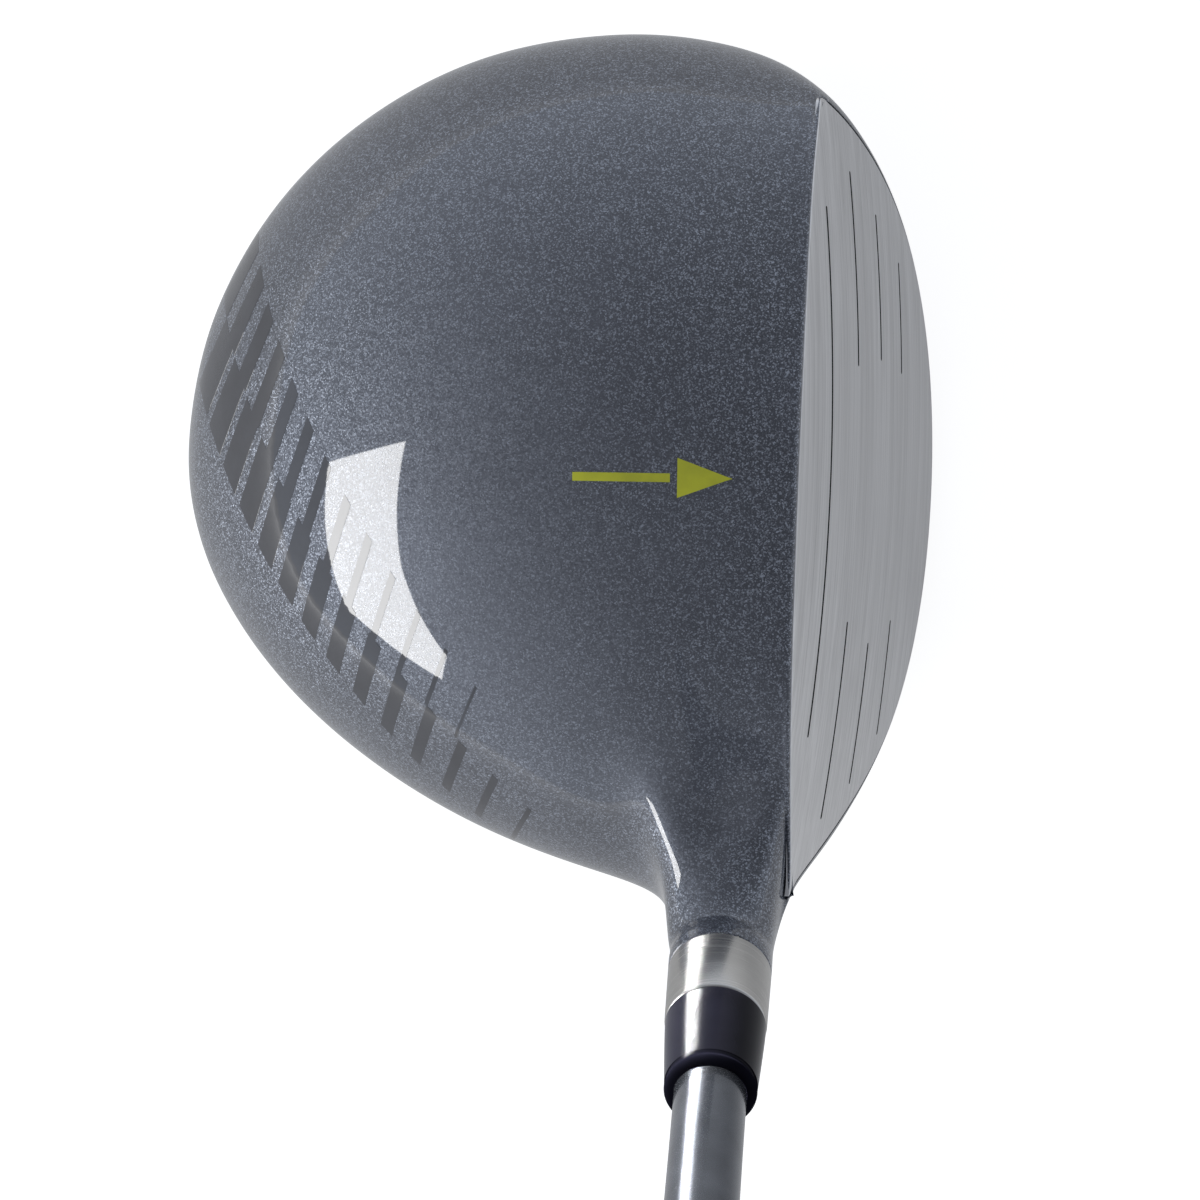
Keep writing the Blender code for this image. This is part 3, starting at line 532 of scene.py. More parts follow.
def face_outline(skin):
    """The outline of the face plate, in order round it, just inside the paint's rolled edge."""
    bm = bmesh.new()
    bm.from_mesh(skin)
    ahead = bm.verts.layers.float_vector["ahead"]
    outward = bm.verts.layers.float_vector["outward"]
    start = next(v for v in bm.verts if v[ahead].length > 0)
    loop, previous = [start], None
    while True:
        nexts = [e.other_vert(loop[-1]) for e in loop[-1].link_edges]
        nexts = [v for v in nexts if v[ahead].length > 0]
        step = nexts[0] if nexts[0] is not previous else nexts[1]
        if step is start:
            break
        previous = loop[-1]
        loop.append(step)
    outline = []
    for vert in loop:
        point = vert[ahead] - vert[outward] * EDGE_R
        point.y *= PLATE_SCALE
        point.z = FACE_CENTRE_Z + (point.z - FACE_CENTRE_Z) * PLATE_SCALE
        outline.append(point)
    bm.free()
    return outline


def face_level(bm, outline, scale, depth):
    level = []
    for point in outline:
        y = point.y * scale
        z = FACE_CENTRE_Z + (point.z - FACE_CENTRE_Z) * scale
        level.append(bm.verts.new((face_x(y, z) - depth, y, z)))
    return level


def face_plate(skin, metal, fill):
    """The domed plate: dense rings for the front, a small bevel, and a back that thickens inwards."""
    bm = bmesh.new()
    outline = face_outline(skin)
    bevel = FACE_BEVEL / PLATE_HALF
    levels = [face_level(bm, outline, k / PLATE_RINGS * (1 - bevel), 0.0)
              for k in range(1, PLATE_RINGS + 1)]
    for turn in (30.0, 60.0, 90.0):
        inset = bevel * (1 - sin(radians(turn)))
        levels.append(face_level(bm, outline, 1 - inset, FACE_BEVEL * (1 - cos(radians(turn)))))
    levels += [face_level(bm, outline, scale, depth) for scale, depth in PLATE_BACK]
    for first, second in zip(levels, levels[1:]):
        bridge(bm, first, second)
    for level, depth in ((levels[0], 0.0), (levels[-1], FACE_MID_T)):
        centre = bm.verts.new((face_x(0, FACE_CENTRE_Z) - depth, 0, FACE_CENTRE_Z))
        for k in range(len(level)):
            bm.faces.new((level[k - 1], level[k], centre))
    bmesh.ops.recalc_face_normals(bm, faces=bm.faces)
    obj = add_piece("face_plate_fine", bm, [metal, fill], "face_plate", CUT_SHARP)
    cut_out(obj, score_lines(), fill)


def cut_out(obj, bm, finish):
    """Cuts closed bodies, in millimetres, out of a piece, and gives the walls of the cut a finish."""
    bmesh.ops.recalc_face_normals(bm, faces=bm.faces)
    bmesh.ops.scale(bm, vec=(MM, MM, MM), verts=bm.verts)
    cutter = add_object("cutter", mesh_of("cutter", bm))
    cutter.data.materials.append(finish)
    cutter.hide_render = True
    boolean = obj.modifiers.new("Cut", "BOOLEAN")
    boolean.object = cutter
    boolean.material_mode = "TRANSFER"
    graph = bpy.context.evaluated_depsgraph_get()
    mesh = bpy.data.meshes.new_from_object(obj.evaluated_get(graph))
    mesh.set_sharp_from_angle(angle=radians(CUT_SHARP))
    obj.modifiers.clear()
    obj.data = mesh
    bpy.data.objects.remove(cutter)


def score_lines():
    """Round-ended, round-bottomed bars that follow the face, one for each score line."""
    bm = bmesh.new()
    half = SCORE_WIDTH / 2
    for height, heel, toe in SCORE_LINES:
        steps = round((toe - heel) / SCORE_STEP)
        ends = [half * sin(pi / 2 * k / SCORE_END_STEPS) for k in range(1, SCORE_END_STEPS + 1)]
        ys = [heel - end for end in reversed(ends)]
        ys += [heel + (toe - heel) * k / steps for k in range(steps + 1)]
        ys += [toe + end for end in ends]
        rows = []
        for y in ys:
            past = max(heel - y, y - toe, 0.0)
            wide = max(sqrt(max(half * half - past * past, 0.0)), SCORE_LEAST)
            deep = SCORE_DEPTH * wide / half
            turns = [pi * k / SCORE_FLOOR_STEPS for k in range(SCORE_FLOOR_STEPS + 1)]
            corners = [(SCORE_OUT, -wide), (SCORE_OUT, wide)]
            corners += [(-deep * sin(turn), wide * cos(turn)) for turn in turns]
            rows.append([bm.verts.new((face_x(y, height + up) + out, y, height + up))
                         for out, up in corners])
        close_rows(bm, rows)
    return bm


def close_rows(bm, rows):
    """Joins rings of points into a closed body."""
    for first, second in zip(rows, rows[1:]):
        bridge(bm, first, second)
    bm.faces.new(rows[0])
    bm.faces.new(rows[-1])


def sole_recesses():
    """The badge's oval recess under the sole, and behind it the weight port, square to the sole there."""
    bm = bmesh.new()
    turns = [2 * pi * k / RECESS_STEPS for k in range(RECESS_STEPS)]
    close_rows(bm, [[bm.verts.new((BADGE_X + BADGE_HALF_X * cos(t), MID_Y + BADGE_HALF_Y * sin(t), z))
                     for t in turns] for z in (-BADGE_DEPTH, BADGE_DEPTH)])
    slope = Vector((2.0, 0, sole_z(PORT_X + 1) - sole_z(PORT_X - 1))).normalized()
    inward = slope.cross(Vector((0, -1, 0)))
    middle = Vector((PORT_X, MID_Y, sole_z(PORT_X)))
    ring = [PORT_R * (cos(t) * slope + sin(t) * Vector((0, 1, 0))) for t in turns]
    close_rows(bm, [[bm.verts.new(middle + out + depth * inward) for out in ring]
                    for depth in (-PORT_DEPTH, PORT_DEPTH)])
    return bm


def turned(name, profile, finish, replaced, steps=TURNED_STEPS, relief=None):
    """A tube on the shaft line. The profile is a ring of (radius, station), its outer side going up."""
    bm = bmesh.new()
    rings = []
    for r, s in profile:
        ring = []
        for k in range(steps):
            turn = 2 * pi * k / steps
            cut = relief(s, turn, r) if relief else 0.0
            ring.append(bm.verts.new(shaft_point(s, r - cut, turn)))
        rings.append(ring)
    for first, second in zip(rings, rings[1:] + rings[:1]):
        bridge(bm, first, second)
    bmesh.ops.recalc_face_normals(bm, faces=bm.faces)
    add_piece(name, bm, [finish], replaced, PIECE_SHARP)


def rounded(r, s, across, along, steps=ROUND_STEPS):
    """A rounded edge of a profile. From (r, s) it turns inwards by across over a length of along."""
    turns = [pi / 2 * k / steps for k in range(steps + 1)]
    return [(r - across * (1 - cos(turn)), s + along * sin(turn)) for turn in turns]


# -------------------------------- printed marks on the crown

def crown_finder(skin):
    """A function that drops a plan point on to the crown, and gives the point and the smooth normal there."""
    faces = [tuple(p.vertices) for p in skin.polygons if p.material_index == CROWN]
    points = [v.co.copy() for v in skin.vertices]
    normals = [v.normal.copy() for v in skin.vertices]
    tree = BVHTree.FromPolygons(points, faces)

    def find(x, y):
        place, _, index, _ = tree.ray_cast(Vector((x, y, 200.0)), -UP)
        if place is None:
            return None
        normal = Vector()
        for corner in faces[index]:
            normal += normals[corner] / max((points[corner] - place).length, 1e-4)
        return place, normal.normalized()

    return find


def printed_patch(name, rows, find, ink):
    """A thin film that follows the crown. rows is a net of plan points, cut off at the crown's edge."""
    net = [[find(x, y) for x, y in row] for row in rows]
    net = [row for row in net if None not in row]
    if len(net) < 2:
        return
    bm = bmesh.new()
    top = [[bm.verts.new(place + normal * PRINT_HIGH) for place, normal in row] for row in net]
    foot = [[bm.verts.new(vert.co - normal * (PRINT_HIGH + PRINT_DEEP)) for vert, (_, normal) in zip(*pair)]
            for pair in zip(top, net)]
    last, side = len(net) - 1, len(net[0]) - 1
    for level in (top, foot):
        for i in range(last):
            for j in range(side):
                bm.faces.new((level[i][j], level[i][j + 1], level[i + 1][j + 1], level[i + 1][j]))
    rim = [(0, j) for j in range(side)] + [(i, side) for i in range(last)]
    rim += [(last, j) for j in range(side, 0, -1)] + [(i, 0) for i in range(last, 0, -1)]
    bridge(bm, [top[i][j] for i, j in rim], [foot[i][j] for i, j in rim])
    bmesh.ops.recalc_face_normals(bm, faces=bm.faces)
    normals = [normal for row in net for _, normal in row]
    obj = add_piece(name, bm, [ink])
    obj.data.normals_split_custom_set_from_vertices(normals + normals)


def curve(ends, t):
    """A point of a quadratic curve with three control points."""
    a, b, c = (Vector(p) for p in ends)
    return (1 - t) ** 2 * a + 2 * t * (1 - t) * b + t * t * c


def bar_net(row, middle, wide):
    """A bar of one row as a net of plan points, between two places along the rows' curves."""
    low, high = BAR_ROWS[row]
    net = []
    for i in range(BAR_STEPS + 1):
        up = low + (high - low) * i / BAR_STEPS
        places = [middle + wide * (j / BAR_ACROSS - 0.5) for j in range(BAR_ACROSS + 1)]
        net.append([tuple(curve(BAR_OUTER, t).lerp(curve(BAR_INNER, t), up)) for t in places])
    return net


def slanted_bars(find, ink):
    """Two staggered rows of plain bars round the rear of the crown, thinner towards the heel."""
    pitch = 1 / (BAR_COUNT - 1)
    for k in range(BAR_COUNT):
        t = k * pitch
        wide = pitch * (LOWER_SHARE - LOWER_LOSS * t ** LOWER_POWER)
        name = f"crown_bar_{k + 1:02d}"
        printed_patch(name + "_a", bar_net(0, t - wide / 2, wide), find, ink)
        wide = pitch * (UPPER_SHARE - UPPER_LOSS * t)
        if wide > pitch * UPPER_LEAST:
            middle = t - pitch * UPPER_SHIFT + wide / 2
            printed_patch(name + "_b", bar_net(1, middle, wide), find, ink)


def alignment_mark(find, ink):
    """A plain line and arrowhead that point at the target."""
    x, y = MARK_START
    across = [y + MARK_LINE / 4 * j for j in range(-2, 3)]
    stem = [[(x + MARK_STEM * i / STEM_STEPS, place) for place in across] for i in range(STEM_STEPS + 1)]
    printed_patch("alignment_line", stem, find, ink)
    tip = x + MARK_LENGTH
    foot = x + MARK_STEM + MARK_GAP
    head = []
    for i in range(HEAD_STEPS + 1):
        wide = max(MARK_LEAST, MARK_TALL * (1 - i / HEAD_STEPS))
        head.append([(foot + (tip - foot) * i / HEAD_STEPS, y + wide * (j / HEAD_ACROSS - 0.5))
                     for j in range(HEAD_ACROSS + 1)])
    printed_patch("alignment_arrow", head, find, ink)


# -------------------------------- finishes

class Finish:
    """A Principled material, built up node by node from object coordinates."""

    def __init__(self, name, colour, **values):
        self.material = bpy.data.materials.new(name)
        self.material.use_nodes = True
        self.tree = self.material.node_tree
        self.shader = self.tree.nodes["Principled BSDF"]
        self.place = self.node("ShaderNodeTexCoord").outputs["Object"]
        self.material.diffuse_color = (*colour, 1.0)
        self.set(Base_Color=(*colour, 1.0), **values)

    def feed(self, node, socket, value):
        target = node.inputs[socket]
        if isinstance(value, bpy.types.NodeSocket):
            self.tree.links.new(value, target)
        else:
            target.default_value = value

    def set(self, **values):
        for socket, value in values.items():
            self.feed(self.shader, socket.replace("_", " "), value)

    def node(self, kind, inputs=(), **settings):
        made = self.tree.nodes.new(kind)
        for key, value in settings.items():
            setattr(made, key, value)
        for socket, value in inputs:
            self.feed(made, socket, value)
        return made

    def vector(self, operation, *values):
        made = self.node("ShaderNodeVectorMath", enumerate(values), operation=operation)
        return made.outputs["Value" if operation in ("DOT_PRODUCT", "LENGTH") else "Vector"]

    def stretched(self, *scale):
        """Object coordinates times a scale for each axis."""
        return self.vector("MULTIPLY", self.place, scale)

    def noise(self, scale, vector=None, detail=3.0, rough=0.55):
        inputs = (("Vector", vector or self.place), ("Scale", scale), ("Detail", detail),
                  ("Roughness", rough))
        return self.node("ShaderNodeTexNoise", inputs).outputs["Fac"]

    def remap(self, value, low, high, from_low=0.0, from_high=1.0):
        inputs = (("Value", value), ("From Min", from_low), ("From Max", from_high),
                  ("To Min", low), ("To Max", high))
        return self.node("ShaderNodeMapRange", inputs).outputs["Result"]

    def maths(self, operation, first, second):
        return self.node("ShaderNodeMath", ((0, first), (1, second)), operation=operation).outputs[0]

    def mix(self, share, first, second):
        """A colour between two colours."""
        inputs = (("Factor", share), (6, first), (7, second))
        return self.node("ShaderNodeMix", inputs, data_type="RGBA").outputs[2]

    def bump(self, height, strength, distance):
        inputs = (("Height", height), ("Strength", strength), ("Distance", distance))
        self.set(Normal=self.node("ShaderNodeBump", inputs).outputs["Normal"])

    def mottle(self, value, low, high):
        """A colour between two colours, by a noise value."""
        return self.mix(self.remap(value, 0.0, 1.0, *NOISE_SPAN), low, high)

    def along_shaft(self):
        """Distance up the shaft line, in metres."""
        return self.vector("DOT_PRODUCT", self.place, tuple(AXIS))


def shade(colour, factor=1.0):
    """A colour times a factor, with its fourth value."""
    return (*(min(1.0, c * factor) for c in colour), 1.0)


def flake_paint(name, colour, painted_glint):
    """Dark metal-flake base under a clear coat: each flake has its own tilt and a random tone, and the flakes
    high in that tone are mixed towards a bright colour, as painted glints.
    """
    f = Finish(name, colour, Roughness=0.56, Metallic=0.8, Coat_Weight=1.0, Coat_Roughness=COAT_ROUGH,
               Coat_IOR=COAT_IOR)
    cells = f.node("ShaderNodeTexVoronoi", (("Vector", f.place), ("Scale", 1 / (FLAKE * MM))))
    tone = f.node("ShaderNodeSeparateColor", ((0, cells.outputs["Color"]),)).outputs[0]
    # Painted sparkle: the few flakes high in tone take a bright colour that stands in for their glints.
    painted_sparkle = f.remap(f.maths("POWER", tone, 4.0), 0.0, 0.9)
    base = f.mottle(f.noise(90.0), shade(colour, 0.93), shade(colour, 1.07))
    f.set(Base_Color=f.mix(painted_sparkle, base, shade(painted_glint)))
    half = (0.5, 0.5, 0.5)
    tilt = f.vector("MULTIPLY", f.vector("SUBTRACT", cells.outputs["Color"], half), half)
    leaned = f.vector("ADD", f.node("ShaderNodeNewGeometry").outputs["Normal"], tilt)
    f.set(Normal=f.vector("NORMALIZE", leaned))
    return f.material


def brushed_metal(name, colour, scale):
    """Bare metal with fine scratches; scale says how quickly they change along each axis."""
    f = Finish(name, colour, Metallic=1.0)
    streaks = f.noise(1.0, f.stretched(*scale), detail=5.0, rough=0.7)
    broad = f.noise(1.0, f.stretched(*[s * 0.12 for s in scale]))
    both = f.maths("ADD", f.maths("MULTIPLY", streaks, 0.7), f.maths("MULTIPLY", broad, 0.3))
    f.set(Base_Color=f.mottle(both, shade(colour, 0.84), shade(colour, 1.16)))
    f.set(Roughness=f.remap(both, 0.26, 0.44, 0.3, 0.7))
    f.bump(streaks, 0.35, 0.02 * MM)
    return f.material


def turned_metal(name, colour, rough):
    """Metal with the fine rings that a lathe and a belt leave round the shaft line."""
    f = Finish(name, colour, Metallic=1.0)
    rings = f.node("ShaderNodeCombineXYZ", ((0, f.maths("MULTIPLY", f.along_shaft(), 9000.0)),)).outputs[0]
    streaks = f.noise(1.0, f.vector("ADD", rings, f.stretched(120.0, 120.0, 120.0)), detail=4.0, rough=0.65)
    f.set(Base_Color=f.mottle(streaks, shade(colour, 0.84), shade(colour)))
    f.set(Roughness=f.remap(streaks, rough - 0.06, rough + 0.08, 0.3, 0.7))
    f.bump(streaks, 0.25, 0.01 * MM)
    return f.material


def gloss_coat(name, colour, rough, metallic=0.0, coat=1.0, gloss=0.5, dull_from=BUTT_END):
    """Smooth paint or polished plastic with faint haze and hairline scratches, matt beyond a station."""
    f = Finish(name, colour, Metallic=metallic, Coat_Weight=coat, Coat_Roughness=COAT_ROUGH,
               Coat_IOR=COAT_IOR)
    gloss_end = (dull_from + SHAFT_Y * AXIS.y) * MM
    f.set(Specular_IOR_Level=f.remap(f.along_shaft(), gloss, 0.0, gloss_end - 0.3 * MM, gloss_end))
    cloud = f.noise(260.0, detail=4.0)
    f.set(Base_Color=f.mottle(cloud, shade(colour, 0.88), shade(colour, 1.12)))
    scratches = f.noise(1.0, f.stretched(9000.0, 9000.0, 300.0), detail=2.0)
    f.set(Roughness=f.remap(scratches, rough, rough + 0.12, 0.5, 0.8))
    return f.material


def rubber(name, colour):
    """Matt moulded rubber, a little shiny where hands polish it, with a fine skin grain."""
    f = Finish(name, colour, Specular_IOR_Level=0.4)
    polish = f.noise(30.0)
    f.set(Base_Color=f.mottle(polish, shade(colour, 0.7), shade(colour, 1.5)))
    f.set(Roughness=f.remap(polish, 0.6, 0.82, 0.3, 0.7))
    f.bump(f.noise(5200.0, detail=2.0), 0.5, 0.06 * MM)
    return f.material


def plain_solid(name, colour, rough, grain=1500.0):
    """Moulded or cast material with faint cloud and grain."""
    f = Finish(name, colour)
    cloud = f.noise(grain, detail=4.0)
    f.set(Base_Color=f.mix(cloud, shade(colour, 0.82), shade(colour)))
    f.set(Roughness=f.remap(cloud, rough - 0.08, rough + 0.08))
    f.bump(cloud, 0.2, 0.05 * MM)
    return f.material


# -------------------------------- stage

def stage_sheet(name, corners, material):
    """A flat sheet that isn't part of the object."""
    bm = bmesh.new()
    bm.faces.new([bm.verts.new(corner) for corner in corners])
    sheet = add_object(name, mesh_of(name, bm))
    sheet.data.materials.append(material)
    return sheet


def seen_or_lit(tree, seen, lit):
    """A strength with one value for the camera and another, a socket, for the light on the object."""
    path = tree.nodes.new("ShaderNodeLightPath")
    share = tree.nodes.new("ShaderNodeMix")
    share.inputs[3].default_value = seen
    tree.links.new(lit, share.inputs[2])
    tree.links.new(path.outputs["Is Camera Ray"], share.inputs[0])
    return share.outputs[0]


def surround():
    """White to the eye; for reflections, fairly bright near the horizon and dim overhead."""
    world = bpy.data.worlds.new("studio")
    bpy.context.scene.world = world
    world.use_nodes = True
    tree = world.node_tree
    height = tree.nodes.new("ShaderNodeVectorMath")
    height.operation = "DOT_PRODUCT"
    height.inputs[1].default_value = GLOW_UP
    tree.links.new(tree.nodes.new("ShaderNodeTexCoord").outputs["Generated"], height.inputs[0])
    ramp = tree.nodes.new("ShaderNodeValToRGB")
    low, high = ramp.color_ramp.elements
    low.position, low.color = 0.0, HORIZON_GLOW
    high.position, high.color = OVERHEAD_FROM, OVERHEAD_GLOW
    tree.links.new(height.outputs["Value"], ramp.inputs[0])
    share = tree.nodes.new("ShaderNodeMix")
    share.data_type = "RGBA"
    tree.links.new(tree.nodes.new("ShaderNodeLightPath").outputs["Is Camera Ray"], share.inputs[0])
    tree.links.new(ramp.outputs["Color"], share.inputs[6])
    share.inputs[7].default_value = WHITE
    tree.links.new(share.outputs[2], tree.nodes["Background"].inputs["Color"])


def floor():
    f = Finish("floor_paper", (0.55, 0.55, 0.55), Roughness=0.9, Specular_IOR_Level=0.0)
    lit = f.remap(f.vector("LENGTH", f.place), FLOOR_LIT, FLOOR_LIT_FAR, FLOOR_NEAR, FLOOR_FAR)
    f.set(Emission_Color=WHITE, Emission_Strength=seen_or_lit(f.tree, FLOOR_SEEN, lit))
    ends = ((-1, -1), (1, -1), (1, 1), (-1, 1))
    stage_sheet("floor", [(FLOOR_HALF * a, FLOOR_HALF * b, FLOOR_Z) for a, b in ends], f.material)


def softbox():
    """The window-like light behind the heel, as a flat glowing sheet that only reflections show."""
    f = Finish("softbox_cloth", (0.0, 0.0, 0.0), Emission_Color=WHITE, Emission_Strength=SOFTBOX_STRENGTH)
    corners = []
    for turn, height in SOFTBOX_CORNERS:
        turn, height = radians(turn), radians(height)
        way = Vector((-cos(turn) * cos(height), -sin(turn) * cos(height), sin(height)))
        corners.append((SOFTBOX_AIM + way * SOFTBOX_AWAY) * MM)
    sheet = stage_sheet("softbox", corners, f.material)
    sheet.visible_camera = False


def strip_light(name, receiver, strength):
    """A tall narrow light beyond the toe. It falls on one turned piece only, and the head doesn't hide it."""
    light = bpy.data.lights.new(name, "AREA")
    light.shape, light.size, light.size_y = "RECTANGLE", STRIP_WIDE * MM, STRIP_TALL * MM
    light.energy = strength * pi * light.size * light.size_y
    light.cycles.use_multiple_importance_sampling = False
    obj = add_object(name, light)
    way = STRIP_WAY.normalized()
    across = AXIS.cross(way).normalized()
    turn = Matrix((across, way.cross(across), way)).transposed().to_4x4()
    turn.translation = (shaft_point(STRIP_STATION) + way * STRIP_AWAY) * MM
    obj.matrix_world = turn
    seen_in = bpy.data.collections.new(name + "_receivers")
    blocked_by = bpy.data.collections.new(name + "_blockers")
    seen_in.objects.link(bpy.data.objects[receiver])
    blocked_by.objects.link(bpy.data.objects["softbox"])
    obj.light_linking.receiver_collection = seen_in
    obj.light_linking.blocker_collection = blocked_by


def camera():
    """A long lens above the head, looking down nearly along the shaft's plane."""
    level = cos(CAMERA_TILT_Y)
    back = Vector((sin(CAMERA_TILT_X) * level, sin(CAMERA_TILT_Y), cos(CAMERA_TILT_X) * level))
    up = (Vector((0, 1, 0)) - back.y * back).normalized()
    right = up.cross(back)
    turn, side = cos(CAMERA_ROLL), sin(CAMERA_ROLL)
    right, up = turn * right - side * up, side * right + turn * up
    lens = bpy.data.cameras.new("camera")
    lens.sensor_width, lens.lens = CAMERA_SENSOR, CAMERA_LENS
    lens.clip_start, lens.clip_end = CAMERA_CLIP
    obj = add_object("camera", lens)
    place = Matrix((right, up, back)).transposed().to_4x4()
    place.translation = (CAMERA_AIM + CAMERA_AWAY * back) * MM
    obj.matrix_world = place
    bpy.context.scene.camera = obj


# -------------------------------- assembly

def build_head():
    skin = fine_skin()
    # The last colour of each paint is the painted glint colour that its brightest flakes are mixed towards.
    paint = flake_paint("crown_flake_paint", (0.07, 0.077, 0.097), (0.46, 0.5, 0.58))
    lower = flake_paint("sole_flake_paint", (0.06, 0.066, 0.078), (0.34, 0.37, 0.42))
    shell("crown_fine", skin, CROWN, CROWN_T, paint, "crown_shell")
    sole = shell("sole_fine", skin, SOLE, SOLE_T, lower, "sole_shell")
    cut_out(sole, sole_recesses(), lower)
    metal = brushed_metal("face_brushed", (0.8, 0.8, 0.805), (900.0, 25.0, 2600.0))
    face_plate(skin, metal, plain_solid("score_fill", (0.012, 0.012, 0.013), 0.6))
    find = crown_finder(skin)
    slanted_bars(find, gloss_coat("bar_ink", (0.034, 0.036, 0.045), 0.6, gloss=0.15))
    alignment_mark(find, gloss_coat("mark_ink", (0.46, 0.48, 0.01), 0.5))


def build_hosel():
    low, high = NECK_TOP + TURNED_GAP, HOSEL_TOP
    profile = [(HOSEL_R, HOSEL_FOOT), (HOSEL_R, low)]
    profile += [(NECK_R - TURNED_EDGE, low), (NECK_R, low + TURNED_EDGE)]
    profile += [(HOSEL_TOP_R + out, high + past) for out, past in HOSEL_LIP]
    profile += [(HOSEL_BORE_R, high), (HOSEL_BORE_R, HOSEL_FOOT)]
    bare = turned_metal("hosel_brushed", (0.6, 0.59, 0.57), 0.22)
    turned("hosel_fine", profile, bare, "hosel_tube")


def build_ferrule():
    foot, top = HOSEL_TOP + TURNED_GAP, HOSEL_TOP + FERRULE_GAP + FERRULE_LENGTH
    bore, groove, floor_r = TIP_R + FERRULE_FIT, top - GROOVE_BACK, BEAD_R - GROOVE_DEPTH
    profile = [(bore, foot), (FERRULE_R - TURNED_GAP, foot), (FERRULE_R, foot + TURNED_GAP)]
    start, stop, narrow = foot + BODY_FROM, top - BODY_TO, BEAD_R + BODY_PROUD - FERRULE_R
    for k in range(ROUND_STEPS + 1):
        t = k / ROUND_STEPS
        profile.append((FERRULE_R + narrow * t ** BODY_POWER, start + (stop - start) * t))
    profile += [(floor_r + out, groove + past) for out, past in GROOVE_FLOOR]
    for k in range(1, BEAD_STEPS + 1):
        out = (GROOVE_DEPTH + BEAD_PROUD) * sin(pi / 2 * k / BEAD_STEPS)
        profile.append((floor_r + out, groove + BEAD_FROM + BEAD_RISE * k / BEAD_STEPS))
    profile += rounded(BEAD_R + BEAD_PROUD, top - BEAD_ROUND, BEAD_DROP, BEAD_ROUND)[1:]
    profile.append((bore, top))
    black = gloss_coat("ferrule_black", (0.006, 0.006, 0.01), 0.16, coat=0.0, gloss=0.12,
                       dull_from=groove - BEAD_FROM)
    turned("ferrule_fine", profile, black, "ferrule")


def shaft_r(s):
    return TIP_R + (BUTT_R - TIP_R) * max(0.0, (s - TAPER_START) / (BUTT_END - TAPER_START))


def build_shaft():
    inner, top = TIP_R - SHAFT_WALL, BUTT_END - CAP_T - BUTT_GAP
    profile = [(inner, TIP_END), (TIP_R - TIP_IN, TIP_END), (TIP_R, TIP_END + TIP_ALONG)]
    stations = [TAPER_START + (top - TAPER_START) * k / SHAFT_ROWS for k in range(SHAFT_ROWS + 1)]
    profile += [(shaft_r(s), s) for s in stations]
    profile += [(shaft_r(top) - SHAFT_WALL, top), (inner, TAPER_START)]
    paint = gloss_coat("shaft_gloss", (0.125, 0.135, 0.155), 0.22, 0.8, coat=0.3)
    turned("shaft_fine", profile, paint, "shaft")


def grip_r(s):
    """Outer radius of the grip, from its mouth to its butt."""
    t = (s - (BUTT_END - GRIP_LENGTH)) / GRIP_LENGTH
    return GRIP_MOUTH_R + (GRIP_BUTT_R - GRIP_MOUTH_R) * (GRIP_STRAIGHT * t + (1 - GRIP_STRAIGHT) * t ** 3)


def grip_relief(s, turn, r):
    """Depth of the moulded pattern: small lozenges in a long field, and rings near each end."""
    up, down = s - (BUTT_END - GRIP_LENGTH), BUTT_END - CAP_T - s
    if r < grip_r(s) - GRIP_SKIN:
        return 0.0
    if MOUTH_BAND[0] < up < MOUTH_BAND[1] or CAP_BAND[1] < down < CAP_BAND[0]:
        return RING_DEPTH * max(0.0, sin(2 * pi * s / RING_PITCH)) ** RING_POWER
    if up <= FIELD_FROM or down <= FIELD_TO:
        return 0.0
    across, along = turn * LOZENGE_COUNT / (2 * pi), s / LOZENGE_PITCH
    one, other = abs(sin(pi * (across + along))), abs(sin(pi * (across - along)))
    return LOZENGE_DEPTH * max(0.0, LOZENGE_WIDE - min(one, other)) * max(one, other)


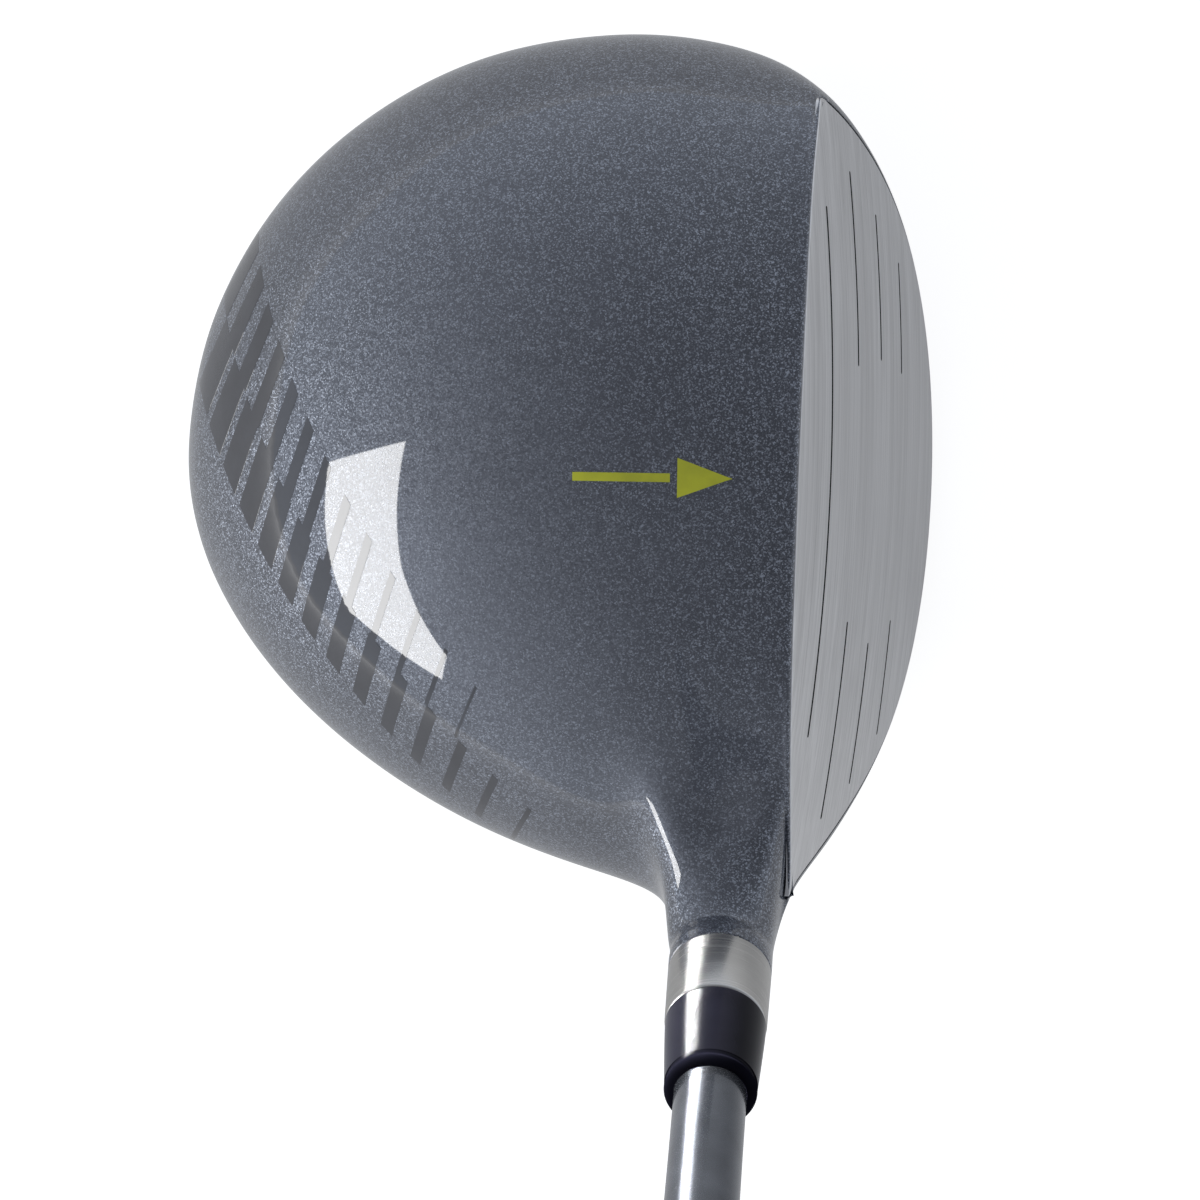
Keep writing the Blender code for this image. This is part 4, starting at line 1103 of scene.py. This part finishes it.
def build_grip():
    black = rubber("grip_rubber_fine", (0.02, 0.02, 0.022))
    foot, top = BUTT_END - GRIP_LENGTH, BUTT_END - CAP_T
    bore = TAPE_GAP + TAPE_T + TAPE_GAP
    mouth = rounded(grip_r(foot), foot + MOUTH_ROUND, MOUTH_ROUND, -MOUTH_ROUND, MOUTH_STEPS)
    field = foot + MOUTH_LENGTH
    stations = [field + (top - field) * k / GRIP_ROWS for k in range(GRIP_ROWS + 1)]
    profile = [(shaft_r(foot) + bore, foot), *reversed(mouth), *[(grip_r(s), s) for s in stations]]
    profile.append((shaft_r(top) + bore, top))
    turned("grip_fine", profile, black, "grip_sleeve", GRIP_STEPS, grip_relief)

    r, low = GRIP_BUTT_R, top + CAP_GAP
    line = low + CAP_LINE
    profile = [(VENT_R, low), (r, low), (r, line - CAP_LINE_HALF), (r - CAP_LINE_DEPTH, line),
               (r, line + CAP_LINE_HALF)]
    profile += rounded(r, BUTT_END - CAP_ROUND, CAP_ROUND, CAP_ROUND)[1:]
    profile += [(r - inset, BUTT_END - depth) for inset, depth in CAP_CHANNEL]
    profile.append((VENT_R, BUTT_END))
    turned("grip_cap_fine", profile, black, "grip_cap")


def finish_cad_nodes():
    """The CAD nodes that stay keep their shape and get a finish of their own."""
    steel_scale = (2500.0, 2500.0, 60.0)
    finishes = {
        "hosel_bore_plug": plain_solid("plug_moulded", (0.8, 0.8, 0.78), 0.5),
        "bond_sleeve": plain_solid("epoxy_cured", (0.5, 0.48, 0.36), 0.3),
        "tip_weight_pin": turned_metal("brass_turned", (0.62, 0.46, 0.2), 0.3),
        "hot_melt_pad": plain_solid("hot_melt_set", (0.7, 0.6, 0.35), 0.45),
        "grip_tape": plain_solid("tape_paper", (0.75, 0.72, 0.6), 0.85, 900.0),
        "weight_port_cup": brushed_metal("cup_turned", (0.3, 0.3, 0.31), steel_scale),
        "rear_weight_plug": brushed_metal("weight_turned", (0.42, 0.42, 0.42), steel_scale),
        "sole_badge": brushed_metal("badge_brushed", (0.55, 0.55, 0.56), (40.0, 2600.0, 900.0)),
    }
    for name, finish in finishes.items():
        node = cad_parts[name]
        node.data.materials.clear()
        node.data.materials.append(finish)
        node.data.shade_smooth()
        node.data.set_sharp_from_angle(angle=radians(PIECE_SHARP))


build_head()
build_hosel()
build_ferrule()
build_shaft()
build_grip()
finish_cad_nodes()
surround()
floor()
softbox()
for piece, strength in STRIPS.items():
    strip_light("strip_on_" + piece, piece + "_fine", strength)
camera()
bpy.context.scene.view_settings.view_transform = "Standard"
